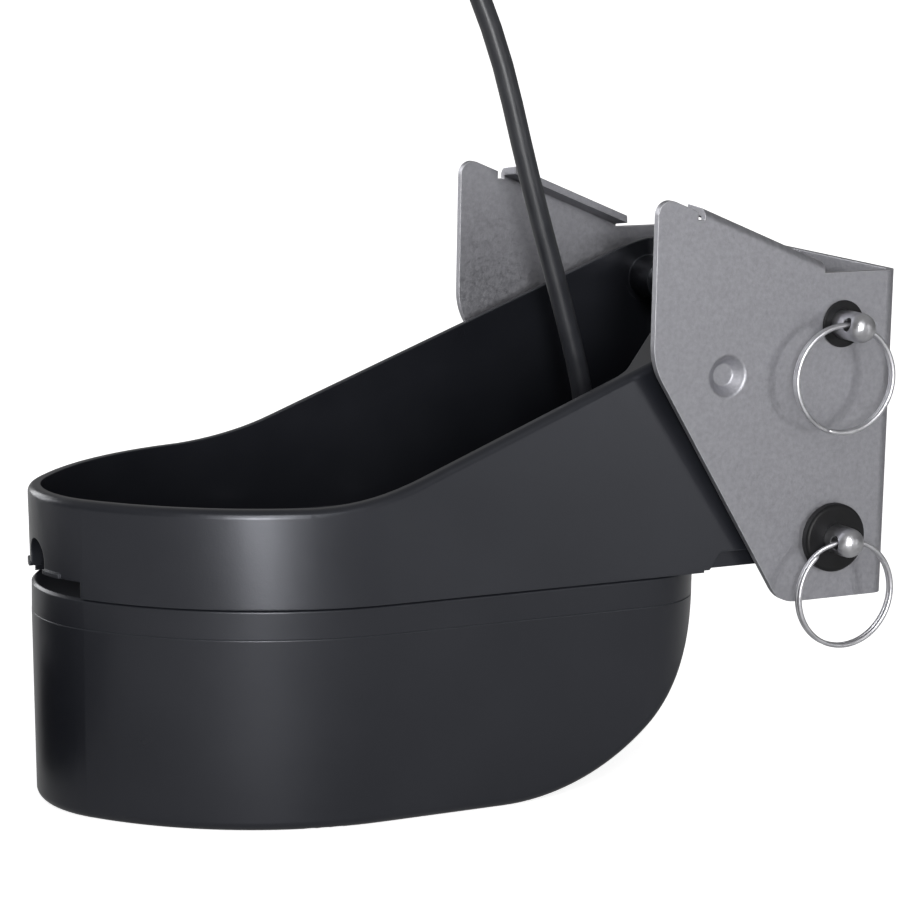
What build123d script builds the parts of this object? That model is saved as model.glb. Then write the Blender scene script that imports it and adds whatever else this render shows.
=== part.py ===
from build123d import *
from math import asin, atan2, cos, degrees, hypot, pi, radians, sin, sqrt, tan
import os

os.makedirs("parts", exist_ok=True)

# Transom-mount sonar transducer. Millimetres. +X is forward, towards the boat's transom,
# +Y is the far side, +Z is up. The origin is on the flat sounding face, on the centre plane.

# Plan of the housing: a tip arc aft, two long side arcs, straight sides and a blunt bow
HOUSING_HALF_WIDTH = 63.0
TIP_X = -99.1
TIP_RADIUS = 35.8
SIDE_START_X = -8.7
BOW_X = 110.3
BOW_CORNER_RADIUS = 27.5

# Side profile of the bow: one large arc that rises from the sounding face
BOW_RISE_START_X = 33.4
BOW_RISE_RADIUS = 75.0

# Lower housing, a potted cup with a lid
SEAM_Z = 69.8
LID_THICKNESS = 9.4
CUP_INSET = 0.2
LID_INSET = 0.25
LID_EDGE_CHAMFER = 0.8
CUP_DRAFT = 1.2
CUP_WALL = 4.0
WINDOW_THICKNESS = 6.0
CUP_EDGE_RADIUS = 3.0
POTTING_TOP_Z = 50.0

# Upper fairing, an open bucket with a raked rim
FAIRING_FRONT_X = 160.0
FAIRING_FRONT_RADIUS = 8.0
FAIRING_WALL = 4.0
FAIRING_FLOOR = 3.8
FAIRING_DRAFT = 3.0
FAIRING_TIP_FLARE = 1.0
FAIRING_KEEL_STEP = 0.7
KEEL_STEP_X = 102.5
RIM_AFT_Z = 99.9
RIM_FRONT_Z = 163.0
RIM_RAKE_START_X = -13.8
RIM_RAKE_END_X = 146.7
RIM_RAKE_START_RADIUS = 100.0
RIM_RAKE_END_RADIUS = 50.0
RIM_OUTER_EDGE_RADIUS = 2.4

# Inside of the bucket: a thick cored shoulder on the near side, a round boss on the far side
SHOULDER_START_X = 72.0
SHOULDER_FACE_Y = -34.0
SHOULDER_TURN_RADIUS = 10.0
SHOULDER_CORE_WALL = 5.0
BOSS_RADIUS = 7.5
BOSS_END_Y = 42.0
PIN_PAD_RADIUS = 9.0
PIN_PAD_GAP = 0.3

# Drain slot and arched window in the aft tip
DRAIN_HALF_WIDTH = 20.6
DRAIN_HEIGHT = 5.2
DRAIN_FLOOR_CUT_X = -70.0
ARCH_HALF_WIDTH = 6.0
ARCH_TOP_Z = 85.0
SILL_HALF_WIDTH = 14.0
SILL_HEIGHT = 1.4
SILL_PROUD = 0.9

# Recess at the lower forward corner of each side wall
RECESS_START_X = 104.5
RECESS_TOP_Z = 76.0
RECESS_DEPTH = 2.5
RECESS_CORNER_RUN = 4.2
RECESS_END_GAP = 2.0

# Mounting bracket, one folded sheet
SHEET = 2.4
BRACKET_SIDE_GAP = 2.6
BRACKET_AFT_X = 78.4
TRANSOM_X = 169.0
BRACKET_BOTTOM_Z = 58.65
BRACKET_FRONT_TOP_Z = 165.2
BEND_INNER_RADIUS = 2.0
AFT_EDGE_BOTTOM_Z = 138.7
BOTTOM_EDGE_AFT_X = 128.1
AFT_TOP_CORNER_RADIUS = 4.5
AFT_TURN_RADIUS = 22.0
BOTTOM_CORNER_RADIUS = 10.0

# Folded lips along the raked top edges of the bracket
LIP_START_X = 95.2
LIP_END_X = 140.6
LIP_START_Z = 187.1
LIP_SLOPE = 0.41
LIP_DEPTH = 10.5
LIP_BEND_RADIUS = 3.0
NEAR_LIP_RISE = 0.55
FAR_LIP_RISE = 1.5
LIP_LEG_LAP = 1.5
PLATE_TOP_DROP = 1.8
RELIEF_WIDTH = 2.4
RELIEF_DEPTH = 3.6

# Stop dimples pressed inwards in the bracket sides
DIMPLE_X = 105.5
DIMPLE_Z = 134.0
DIMPLE_OUTER_RADIUS = 6.6
DIMPLE_FLAT_RADIUS = 3.6
DIMPLE_DEPTH = 3.2
DIMPLE_WALL = 1.2
DIMPLE_EDGE_RADIUS = 1.4
DIMPLE_FLOOR_RADIUS = 0.9

# Slotted screw holes in the transom plate
SLOT_HALF_SPACING_Y = 40.0
SLOT_LOWER_Z = 84.0
SLOT_UPPER_Z = 138.0
SLOT_WIDTH = 7.0
SLOT_LENGTH = 20.0

# Clevis pins, their bushings and split rings
UPPER_PIN_X = 148.0
UPPER_PIN_Z = 148.6
LOWER_PIN_X = 147.1
LOWER_PIN_Z = 79.0
PIN_RADIUS = 4.75
PIN_CLEARANCE = 0.08
PIN_TIP_REACH = 14.6
PIN_TIP_DOME_RADIUS = 4.2
PIN_HEAD_RADIUS = 7.0
PIN_HEAD_THICKNESS = 3.5
PIN_HEAD_CHAMFER = 0.7
CROSS_HOLE_REACH = 8.9
CROSS_HOLE_RADIUS = 2.2
BUSHING_SLEEVE_RADIUS = 6.6
BUSHING_FIT = 0.1
UPPER_FLANGE_RADIUS = 7.6
UPPER_FLANGE_THICKNESS = 0.8
UPPER_FLANGE_EDGE_RADIUS = 0.3
LOWER_FLANGE_RADIUS = 11.2
LOWER_FLANGE_THICKNESS = 3.2
LOWER_FLANGE_EDGE_RADIUS = 1.2
RING_WIRE_RADIUS = 0.75
RING_COIL_LAP = 0.1
RING_MEAN_RADIUS = 17.2
RING_SEAT_RISE = 0.35
UPPER_RING_YAW = -5.0
LOWER_RING_YAW = -2.0
UPPER_PIN_TURN = 15.0
LOWER_PIN_TURN = 0.0

# Sounding elements inside the cup
ELEMENT_RADIUS = 16.5
ELEMENT_PITCH = 34.5
ELEMENT_HEIGHT = 26.0
ELEMENT_FIELD_X = -20.0
ELEMENT_FIELD_MARGIN = 1.0
MATCHING_LAYER = 2.0
BACKING_THICKNESS = 6.0
BOARD_THICKNESS = 1.6
BOARD_LENGTH = 60.0
BOARD_WIDTH = 44.0
BOARD_X = -20.0
TRANSFORMER_RADIUS = 13.0
TRANSFORMER_HOLE_RADIUS = 5.0
TRANSFORMER_HEIGHT = 9.0
TRANSFORMER_GAP = 3.0
TRANSFORMER_EDGE_RADIUS = 2.0
SENSOR_FROM_RISE = 24.6
SENSOR_Y = -18.0
SENSOR_RADIUS = 4.0
SENSOR_LENGTH = 22.0
SENSOR_PROUD = 2.0
SENSOR_EDGE_RADIUS = 1.0

# Screws that hold the fairing to the lid
SCREW_RADIUS = 2.5
SCREW_CLEARANCE = 0.25
SCREW_LENGTH = 9.0
SCREW_HEAD_RADIUS = 4.7
SCREW_HEAD_HEIGHT = 3.0
SCREW_SOCKET_RADIUS = 1.7
SCREW_PLACES = [(-48.0, 30.0), (-2.0, 44.0), (44.0, 44.0)]

# Cable gland on the bucket's floor, set back from the bow's top edge
CABLE_SETBACK = 13.465
CABLE_Y = 0.0
CABLE_RADIUS = 3.5
GLAND_HEX = 20.0
GLAND_BODY_HEIGHT = 6.0
GLAND_STEM_RADIUS = 6.0
GLAND_NUT_HEX = 19.0
GLAND_NUT_HEIGHT = 7.0
GLAND_NUT_LOWER_CONE = 11.8
GLAND_NUT_UPPER_CONE = 9.9
GLAND_SEAL_RADIUS = 8.5
GLAND_SEAL_HEIGHT = 1.2
RELIEF_BOOT_RADIUS = 6.2
RELIEF_BOOT_TIP_RADIUS = 4.4
RELIEF_BOOT_HEIGHT = 13.5

# Coiled cable on the floor beside the aft tip, and the straps that bind it
COIL_X = -192.0
COIL_Y = 34.0
COIL_BASE_Z = 1.6
COIL_MEAN_RADIUS = 56.0
COIL_BUNDLE_WIDTH = 42.0
COIL_BUNDLE_HEIGHT = 36.0
COIL_BUNDLE_CORNER = 15.0
TIE_THICKNESS = 1.2
TIE_WIDTH = 10.0
TIE_ANGLES = (40.0, 225.0, 315.0)

# Share of the shorter straight run that a bend of the cable takes up
BEND_SHARE = 0.45

# Plug on the cable's end: shell, coupling ring, contacts and rear boot
PLUG_RADIUS = 8.0
PLUG_LENGTH = 40.0
PLUG_RING_RADIUS = 10.0
PLUG_RING_LENGTH = 16.0
PLUG_RING_OFFSET = 22.0
PLUG_RING_CHAMFER = 0.8
PLUG_FLUTES = 16
PLUG_FLUTE_RADIUS = 0.9
PLUG_SOCKET_RADIUS = 6.6
PLUG_SOCKET_DEPTH = 12.0
PLUG_PIN_RADIUS = 0.8
PLUG_PIN_LENGTH = 8.0
PLUG_PIN_CIRCLE = 4.2
PLUG_PIN_COUNT = 9
PLUG_BOOT_LENGTH = 15.0
PLUG_BOOT_RADIUS = 5.8
PLUG_BOOT_TIP_RADIUS = 4.4

# Leads between the cable's inner end and the terminal board
CABLE_INNER_END_Z = 57.0
LEAD_RADIUS = 0.9
LEAD_SPREAD = 1.8
LEAD_BOARD_Y = 17.0
LEAD_TURN_X = 60.0
LEAD_DROP_BEND = 3.5
LEAD_SIDE_BEND = 20.0

# Places that follow from the sizes above
CUP_TOP_Z = SEAM_Z - LID_THICKNESS
FLOOR_Z = SEAM_Z + FAIRING_FLOOR
KEEL_Z = SEAM_Z + FAIRING_KEEL_STEP
PLATE_INNER_Y = HOUSING_HALF_WIDTH + BRACKET_SIDE_GAP
PLATE_OUTER_Y = PLATE_INNER_Y + SHEET
RAKE = (RIM_FRONT_Z - RIM_AFT_Z) / (RIM_RAKE_END_X - RIM_RAKE_START_X)
CROSS_HOLE_Y = -(PLATE_OUTER_Y + CROSS_HOLE_REACH)
BOW_TOP_X = BOW_RISE_START_X + sqrt(BOW_RISE_RADIUS**2 - (BOW_RISE_RADIUS - CUP_TOP_Z) ** 2)
CABLE_X = BOW_TOP_X - CABLE_SETBACK
SENSOR_X = BOW_RISE_START_X + SENSOR_FROM_RISE
FAR = 400.0

# Hand-placed points of the cable: from the housing to the coil, and from the coil to the plug
CABLE_ROUTE = [
    (CABLE_X, CABLE_Y, 101.3),
    (CABLE_X, CABLE_Y, 113.4),
    (84.9, 0.2, 144.0),
    (70.2, 0.8, 190.0),
    (57.5, 3.0, 240.0),
    (35.0, 9.0, 286.0),
    (-6.0, 19.0, 316.0),
    (-54.0, 30.0, 321.0),
    (-98.0, 42.0, 299.0),
    (-126.0, 55.0, 256.0),
    (-137.0, 66.0, 201.0),
    (-141.0, 75.0, 149.0),
    (-147.0, 82.0, 104.0),
    (-160.0, 86.5, 70.0),
    (-182.2, 89.6, 50.0),
    (-204.8, 85.4, 41.5),
    (-222.8, 73.4, 37.0),
    (-233.5, 56.1, 33.6),
]
TAIL_ROUTE = [
    (-256.2, 51.2, 5.1),
    (-260.2, 29.0, 5.2),
    (-259.8, 6.0, 5.8),
    (-256.0, -16.0, 7.4),
]


def outline_face(half_width, tip_x, tip, front, corner, z):
    """Face with a tip arc aft, two side arcs, straight sides and a blunt front."""
    tip_centre_x = tip_x + tip
    run = SIDE_START_X - tip_centre_x
    side = (run**2 + half_width**2 - tip**2) / (2 * (half_width - tip))
    side_y = half_width - side
    join = atan2(-side_y, run)
    join_point = (tip_centre_x - tip * cos(join), tip * sin(join))
    middle = (join + pi / 2) / 2
    side_middle = (SIDE_START_X - side * cos(middle), side_y + side * sin(middle))
    cut = corner * (1 - sin(pi / 4))
    corner_middle = (front - cut, half_width - cut)
    outline = Line((front, -(half_width - corner)), (front, half_width - corner))
    for sign in (-1, 1):
        outline += ThreePointArc(
            (front, sign * (half_width - corner)),
            (corner_middle[0], sign * corner_middle[1]),
            (front - corner, sign * half_width),
        )
        outline += Line((front - corner, sign * half_width), (SIDE_START_X, sign * half_width))
        outline += ThreePointArc(
            (SIDE_START_X, sign * half_width),
            (side_middle[0], sign * side_middle[1]),
            (join_point[0], sign * join_point[1]),
        )
    outline += ThreePointArc(
        (join_point[0], -join_point[1]),
        (tip_x, 0),
        (join_point[0], join_point[1]),
    )
    return Pos(0, 0, z) * make_face(outline)


def plan_face(inset, front_x, front_radius, z=0.0):
    """Plan outline of the housing as a face, moved inwards by inset."""
    return outline_face(
        HOUSING_HALF_WIDTH - inset,
        TIP_X + inset,
        TIP_RADIUS - inset,
        front_x - inset,
        front_radius - inset,
        z,
    )


def fairing_form(wall):
    """Bucket's outer form moved inwards by wall: sides and front drafted, tip flared aft."""
    top_z = RIM_FRONT_Z + FAIRING_WALL
    lean = (top_z - SEAM_Z) * tan(radians(FAIRING_DRAFT))
    flare = FAIRING_TIP_FLARE * (top_z - SEAM_Z) / (RIM_AFT_Z - SEAM_Z)
    low = plan_face(wall, FAIRING_FRONT_X, FAIRING_FRONT_RADIUS, SEAM_Z)
    high = outline_face(
        HOUSING_HALF_WIDTH - wall - lean,
        TIP_X + wall - flare,
        TIP_RADIUS - wall - lean,
        FAIRING_FRONT_X - wall - lean,
        FAIRING_FRONT_RADIUS - wall,
        top_z,
    )
    return loft([low, high], ruled=True)


def side_slab(points, y_from, y_to):
    """Solid between two Y places whose side view is the closed polygon of points."""
    face = Plane.XZ * make_face(Polyline(*points, close=True))
    return Pos(0, y_to, 0) * extrude(face, amount=y_to - y_from)


def block(x_from, x_to, y_from, y_to, z_from, z_to):
    """Box given by its limits."""
    centre = ((x_from + x_to) / 2, (y_from + y_to) / 2, (z_from + z_to) / 2)
    return Pos(*centre) * Box(x_to - x_from, y_to - y_from, z_to - z_from)


def rod_along_y(x, z, radius, y_from, y_to):
    """Cylinder with its axis along Y."""
    centre = Pos(x, (y_from + y_to) / 2, z)
    return centre * Rot(90, 0, 0) * Cylinder(radius, y_to - y_from)


def rod_along_z(x, y, radius, z_from, z_to):
    """Cylinder with its axis along Z."""
    return Pos(x, y, (z_from + z_to) / 2) * Cylinder(radius, z_to - z_from)


def bow_slab(inset, z_from, z_to):
    """Everything behind the bow's rising arc, between two heights."""
    radius = BOW_RISE_RADIUS - inset

    def arc_x(z):
        return BOW_RISE_START_X + sqrt(radius**2 - (BOW_RISE_RADIUS - z) ** 2)

    bottom = max(z_from, inset)
    middle = (bottom + z_to) / 2
    profile = Line((-FAR, bottom), (arc_x(bottom), bottom))
    profile += ThreePointArc(
        (arc_x(bottom), bottom), (arc_x(middle), middle), (arc_x(z_to), z_to)
    )
    profile += Line((arc_x(z_to), z_to), (-FAR, z_to))
    profile += Line((-FAR, z_to), (-FAR, bottom))
    face = Plane.XZ * make_face(profile)
    return Pos(0, FAR / 2, 0) * extrude(face, amount=FAR)


def screw_points():
    """Plan places of the fairing's screws, mirrored to both sides."""
    return [(x, sign * y) for x, y in SCREW_PLACES for sign in (-1, 1)]


def element_points():
    """Plan places of the sounding elements: one in the middle and six around it."""
    ring = [
        (
            ELEMENT_FIELD_X + ELEMENT_PITCH * cos(radians(60 * step)),
            ELEMENT_PITCH * sin(radians(60 * step)),
        )
        for step in range(6)
    ]
    return [(ELEMENT_FIELD_X, 0.0)] + ring


def make_lower_housing():
    """Cup with a flat sounding window, an upswept bow and a rounded lower edge."""
    foot_inset = CUP_INSET + CUP_TOP_Z * tan(radians(CUP_DRAFT))
    foot = plan_face(foot_inset, BOW_X, BOW_CORNER_RADIUS)
    outer = extrude(foot, amount=CUP_TOP_Z, taper=-CUP_DRAFT)
    outer &= bow_slab(0.0, 0.0, CUP_TOP_Z)
    lower_edges = [
        edge
        for edge in outer.edges()
        if edge.center().Z < CUP_TOP_Z - 1 and not is_upright(edge) and not is_bow_seam(edge)
    ]
    outer = fillet(lower_edges, CUP_EDGE_RADIUS)
    inner = extrude(
        plan_face(foot_inset + CUP_WALL, BOW_X, BOW_CORNER_RADIUS), amount=CUP_TOP_Z
    )
    inner &= bow_slab(WINDOW_THICKNESS, WINDOW_THICKNESS, CUP_TOP_Z)
    sensor_bore = rod_along_z(
        SENSOR_X, SENSOR_Y, SENSOR_RADIUS, -SENSOR_LENGTH, CUP_TOP_Z
    )
    return outer - inner - sensor_bore, inner


def is_upright(edge):
    """True for an edge that runs straight up, or nearly so."""
    start, end = edge.position_at(0), edge.position_at(1)
    return hypot(start.X - end.X, start.Y - end.Y) < abs(start.Z - end.Z) / 10


def is_bow_seam(edge):
    """True for the straight line across the bottom where the bow starts to rise."""
    start, end = edge.position_at(0), edge.position_at(1)
    straight_across = abs(start.X - end.X) < 1e-3 and abs(start.Z - end.Z) < 1e-3
    return straight_across and abs(start.X - BOW_RISE_START_X) < 1e-2


def make_lid():
    """Lid of the cup, with blind holes for the fairing's screws and a cable bore."""
    lid = extrude(
        plan_face(LID_INSET, BOW_X, BOW_CORNER_RADIUS, CUP_TOP_Z), amount=LID_THICKNESS
    )
    lid &= bow_slab(LID_INSET - CUP_INSET, CUP_TOP_Z, SEAM_Z)
    top_rim = lid.faces().sort_by(Axis.Z)[-1].outer_wire().edges()
    lid = chamfer(top_rim, LID_EDGE_CHAMFER)
    depth = SCREW_LENGTH - FAIRING_FLOOR
    for x, y in screw_points():
        lid -= rod_along_z(x, y, SCREW_RADIUS, SEAM_Z - depth, SEAM_Z)
    return lid - rod_along_z(CABLE_X, CABLE_Y, GLAND_STEM_RADIUS, CUP_TOP_Z, SEAM_Z)


def make_elements():
    """Seven ceramic discs that stand on the matching layer."""
    base = WINDOW_THICKNESS + MATCHING_LAYER
    return [
        rod_along_z(x, y, ELEMENT_RADIUS, base, base + ELEMENT_HEIGHT)
        for x, y in element_points()
    ]


def make_matching_layer():
    """Round plate between the window and the ceramic discs."""
    radius = ELEMENT_PITCH + ELEMENT_RADIUS + ELEMENT_FIELD_MARGIN
    top = WINDOW_THICKNESS + MATCHING_LAYER
    return rod_along_z(ELEMENT_FIELD_X, 0.0, radius, WINDOW_THICKNESS, top)


def make_backing():
    """Cork disc that backs the ceramic elements."""
    radius = ELEMENT_PITCH + ELEMENT_RADIUS + ELEMENT_FIELD_MARGIN
    base = WINDOW_THICKNESS + MATCHING_LAYER + ELEMENT_HEIGHT
    return rod_along_z(ELEMENT_FIELD_X, 0.0, radius, base, base + BACKING_THICKNESS)


def make_sensor():
    """Metal temperature button in the bow's underside."""
    floor_z = bow_floor(SENSOR_X)
    stem = rod_along_z(
        SENSOR_X, SENSOR_Y, SENSOR_RADIUS, floor_z - SENSOR_PROUD, floor_z + SENSOR_LENGTH
    )
    return fillet(stem.faces().sort_by(Axis.Z)[0].edges(), SENSOR_EDGE_RADIUS)


def bow_floor(x):
    """Height of the bow's underside at a place along X."""
    return BOW_RISE_RADIUS - sqrt(BOW_RISE_RADIUS**2 - (x - BOW_RISE_START_X) ** 2)


def make_board():
    """Terminal board that lies on the potting."""
    return block(
        BOARD_X - BOARD_LENGTH / 2,
        BOARD_X + BOARD_LENGTH / 2,
        -BOARD_WIDTH / 2,
        BOARD_WIDTH / 2,
        POTTING_TOP_Z,
        POTTING_TOP_Z + BOARD_THICKNESS,
    )


def make_transformer():
    """Toroidal matching transformer beside the terminal board."""
    x = BOARD_X + BOARD_LENGTH / 2 + TRANSFORMER_RADIUS + TRANSFORMER_GAP
    top = POTTING_TOP_Z + TRANSFORMER_HEIGHT
    ring = rod_along_z(x, 0.0, TRANSFORMER_RADIUS, POTTING_TOP_Z, top)
    ring -= rod_along_z(x, 0.0, TRANSFORMER_HOLE_RADIUS, POTTING_TOP_Z, top)
    return fillet(ring.faces().sort_by(Axis.Z)[-1].edges(), TRANSFORMER_EDGE_RADIUS)


def make_potting(inner, buried):
    """Casting resin that fills the cup around the elements and the sensor."""
    resin = inner & block(-FAR, FAR, -FAR, FAR, WINDOW_THICKNESS, POTTING_TOP_Z)
    for solid in buried:
        resin -= solid
    return resin


def rim_tool():
    """Everything above the bucket's raked rim."""
    points = [
        (-FAR, RIM_AFT_Z),
        (RIM_RAKE_START_X, RIM_AFT_Z),
        (RIM_RAKE_END_X, RIM_FRONT_Z),
        (FAR, RIM_FRONT_Z),
        (FAR, FAR),
        (-FAR, FAR),
    ]
    sketch = make_face(Polyline(*points, close=True))
    for place, radius in (
        ((RIM_RAKE_START_X, RIM_AFT_Z), RIM_RAKE_START_RADIUS),
        ((RIM_RAKE_END_X, RIM_FRONT_Z), RIM_RAKE_END_RADIUS),
    ):
        corner = [
            vertex
            for vertex in sketch.vertices()
            if hypot(vertex.X - place[0], vertex.Y - place[1]) < 1e-3
        ]
        sketch = fillet(corner, radius)
    return Pos(0, FAR / 2, 0) * extrude(Plane.XZ * sketch, amount=FAR)


def bucket_hollow():
    """Space inside the bucket, before its rim is cut."""
    hollow = fairing_form(FAIRING_WALL) & block(-FAR, FAR, -FAR, FAR, FLOOR_Z, FAR)
    hollow -= shoulder_block()
    turn = [
        edge
        for edge in hollow.edges()
        if edge.center().Y < 0
        and abs(edge.center().X - SHOULDER_START_X) < 2 * FAIRING_WALL
        and edge.length > RIM_AFT_Z - FLOOR_Z
    ]
    return fillet(turn, SHOULDER_TURN_RADIUS)


def shoulder_block():
    """Full-height block in the near forward corner, with a face at 45 degrees to the side."""
    wall_y = FAIRING_WALL - HOUSING_HALF_WIDTH
    reach = SHOULDER_FACE_Y - wall_y
    outline = Polyline(
        (SHOULDER_START_X - reach, wall_y - reach),
        (SHOULDER_START_X + reach, SHOULDER_FACE_Y),
        (FAR, SHOULDER_FACE_Y),
        (FAR, wall_y - reach),
        close=True,
    )
    return Pos(0, 0, SEAM_Z) * extrude(make_face(outline), amount=FAR)


def shoulder_core():
    """Hollow under the near shoulder, open at the bottom."""
    wall = SHOULDER_CORE_WALL
    side_wall = 2 * SHOULDER_CORE_WALL
    start = SHOULDER_START_X + HOUSING_HALF_WIDTH + SHOULDER_FACE_Y - wall
    end = FAIRING_FRONT_X - side_wall
    slope_top = RIM_AFT_Z + RAKE * (start - RIM_RAKE_START_X) - side_wall
    end_top = RIM_FRONT_Z - side_wall
    rake_top_x = RIM_RAKE_END_X - wall
    points = [
        (start, SEAM_Z),
        (end, SEAM_Z),
        (end, end_top),
        (rake_top_x, end_top),
        (start, slope_top),
    ]
    return side_slab(points, side_wall - HOUSING_HALF_WIDTH, SHOULDER_FACE_Y - wall)


def make_fairing():
    """Open bucket that carries the housing in the bracket."""
    outer = fairing_form(0.0)
    body = outer - bucket_hollow() - rim_tool()
    body = round_rim(body)
    body -= shoulder_core()
    body -= block(KEEL_STEP_X, FAR, -FAR, FAR, 0.0, KEEL_Z)
    pad_y = PLATE_INNER_Y - PIN_PAD_GAP
    for x, z in ((UPPER_PIN_X, UPPER_PIN_Z), (LOWER_PIN_X, LOWER_PIN_Z)):
        pad_top = min(z + PIN_PAD_RADIUS, RIM_FRONT_Z)
        for sign in (-1, 1):
            inner_y = sign * (HOUSING_HALF_WIDTH - 2 * FAIRING_WALL)
            low, high = sorted((sign * pad_y, inner_y))
            pad = rod_along_y(x, z, PIN_PAD_RADIUS, low, high)
            body += pad & block(-FAR, FAR, -FAR, FAR, KEEL_Z, pad_top)
    boss_end = HOUSING_HALF_WIDTH - 2 * FAIRING_WALL
    body += rod_along_y(UPPER_PIN_X, UPPER_PIN_Z, BOSS_RADIUS, BOSS_END_Y, boss_end)
    for sign in (-1, 1):
        body -= corner_recess(sign)
    for x, z in ((UPPER_PIN_X, UPPER_PIN_Z), (LOWER_PIN_X, LOWER_PIN_Z)):
        body -= rod_along_y(x, z, PIN_RADIUS + PIN_CLEARANCE, -FAR / 2, FAR / 2)
    body = add_drain(body)
    for x, y in screw_points():
        body -= rod_along_z(x, y, SCREW_RADIUS + SCREW_CLEARANCE, SEAM_Z, FLOOR_Z)
    return body - rod_along_z(CABLE_X, CABLE_Y, GLAND_STEM_RADIUS, SEAM_Z, FLOOR_Z)


def rim_height(x):
    """Height of the sharp rim profile at a place along X."""
    raked = RIM_AFT_Z + RAKE * (x - RIM_RAKE_START_X)
    return min(max(raked, RIM_AFT_Z), RIM_FRONT_Z)


def round_rim(body):
    """Round the outer edge of the bucket's rim."""
    middle_of_wall = fairing_form(FAIRING_WALL / 2).solid()
    outer_edges = []
    for edge in body.edges():
        start, middle, end = (edge.position_at(share) for share in (0, 0.5, 1))
        on_rim = all(
            abs(point.Z - rim_height(point.X)) < RIM_OUTER_EDGE_RADIUS
            for point in (start, middle, end)
        )
        crosses_wall = abs(start.X - end.X) < 1e-3 and start.Y * end.Y > 0
        if on_rim and not crosses_wall and not middle_of_wall.is_inside(middle):
            outer_edges.append(edge)
    return fillet(outer_edges, RIM_OUTER_EDGE_RADIUS)


def corner_recess(sign):
    """Shallow recess at the lower forward corner of a side wall."""
    end_x = LOWER_PIN_X - PIN_PAD_RADIUS - RECESS_END_GAP
    points = [
        (RECESS_START_X, 0.0),
        (end_x, 0.0),
        (end_x, RECESS_TOP_Z),
        (RECESS_START_X + RECESS_CORNER_RUN, RECESS_TOP_Z),
        (RECESS_START_X, KEEL_Z),
    ]
    outer = sign * FAR / 2
    inner = sign * (HOUSING_HALF_WIDTH - RECESS_DEPTH)
    return side_slab(points, *sorted((outer, inner)))


def add_drain(body):
    """Drain slot, its sill and the arched window in the aft tip."""
    sill_z = SEAM_Z + DRAIN_HEIGHT
    ring = extrude(
        plan_face(-SILL_PROUD, FAIRING_FRONT_X, FAIRING_FRONT_RADIUS, sill_z),
        amount=SILL_HEIGHT,
    )
    ring -= extrude(
        plan_face(FAIRING_WALL / 2, FAIRING_FRONT_X, FAIRING_FRONT_RADIUS, sill_z),
        amount=SILL_HEIGHT,
    )
    body += ring & block(-FAR, TIP_X + TIP_RADIUS, -SILL_HALF_WIDTH, SILL_HALF_WIDTH, 0.0, FAR)
    slot = block(
        -FAR, DRAIN_FLOOR_CUT_X, -DRAIN_HALF_WIDTH, DRAIN_HALF_WIDTH, 0.0, sill_z
    )
    arch = block(
        -FAR,
        TIP_X + TIP_RADIUS,
        -ARCH_HALF_WIDTH,
        ARCH_HALF_WIDTH,
        0.0,
        ARCH_TOP_Z - ARCH_HALF_WIDTH,
    )
    crown = Pos(-FAR / 2, 0, ARCH_TOP_Z - ARCH_HALF_WIDTH) * Rot(0, 90, 0)
    arch += crown * Cylinder(ARCH_HALF_WIDTH, FAR + 2 * (TIP_X + TIP_RADIUS))
    return body - slot - arch


def lip_top(x):
    """Height of the lips' upper face at a place along X."""
    return LIP_START_Z - LIP_SLOPE * (x - LIP_START_X)


def bracket_side(sign):
    """One side plate of the bracket, with its lip, relief cut and dimple."""
    notch_x = LIP_START_X - RELIEF_WIDTH
    aft_top = (BRACKET_AFT_X, lip_top(BRACKET_AFT_X) - PLATE_TOP_DROP)
    outline = make_face(
        Polyline(
            (TRANSOM_X, BRACKET_BOTTOM_Z),
            (BOTTOM_EDGE_AFT_X, BRACKET_BOTTOM_Z),
            (BRACKET_AFT_X, AFT_EDGE_BOTTOM_Z),
            aft_top,
            (notch_x, lip_top(notch_x) - PLATE_TOP_DROP),
            (notch_x, lip_top(LIP_START_X) - RELIEF_DEPTH),
            (LIP_START_X, lip_top(LIP_START_X) - RELIEF_DEPTH),
            (LIP_END_X, lip_top(LIP_END_X) - RELIEF_DEPTH),
            (LIP_END_X, BRACKET_FRONT_TOP_Z),
            (TRANSOM_X, BRACKET_FRONT_TOP_Z),
            close=True,
        )
    )
    for place, radius in (
        ((BOTTOM_EDGE_AFT_X, BRACKET_BOTTOM_Z), BOTTOM_CORNER_RADIUS),
        ((BRACKET_AFT_X, AFT_EDGE_BOTTOM_Z), AFT_TURN_RADIUS),
        (aft_top, AFT_TOP_CORNER_RADIUS),
    ):
        outline = fillet(corners_at(outline, place), radius)
    low, high = sorted((sign * PLATE_INNER_Y, sign * PLATE_OUTER_Y))
    plate = Pos(0, high, 0) * extrude(Plane.XZ * outline, amount=SHEET)
    return press_dimple(plate + bent_lip(sign), sign)


def corners_at(sketch, place):
    """Corner points of a flat sketch at one place."""
    return [
        vertex
        for vertex in sketch.vertices()
        if hypot(vertex.X - place[0], vertex.Y - place[1]) < 1e-3
    ]


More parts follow.
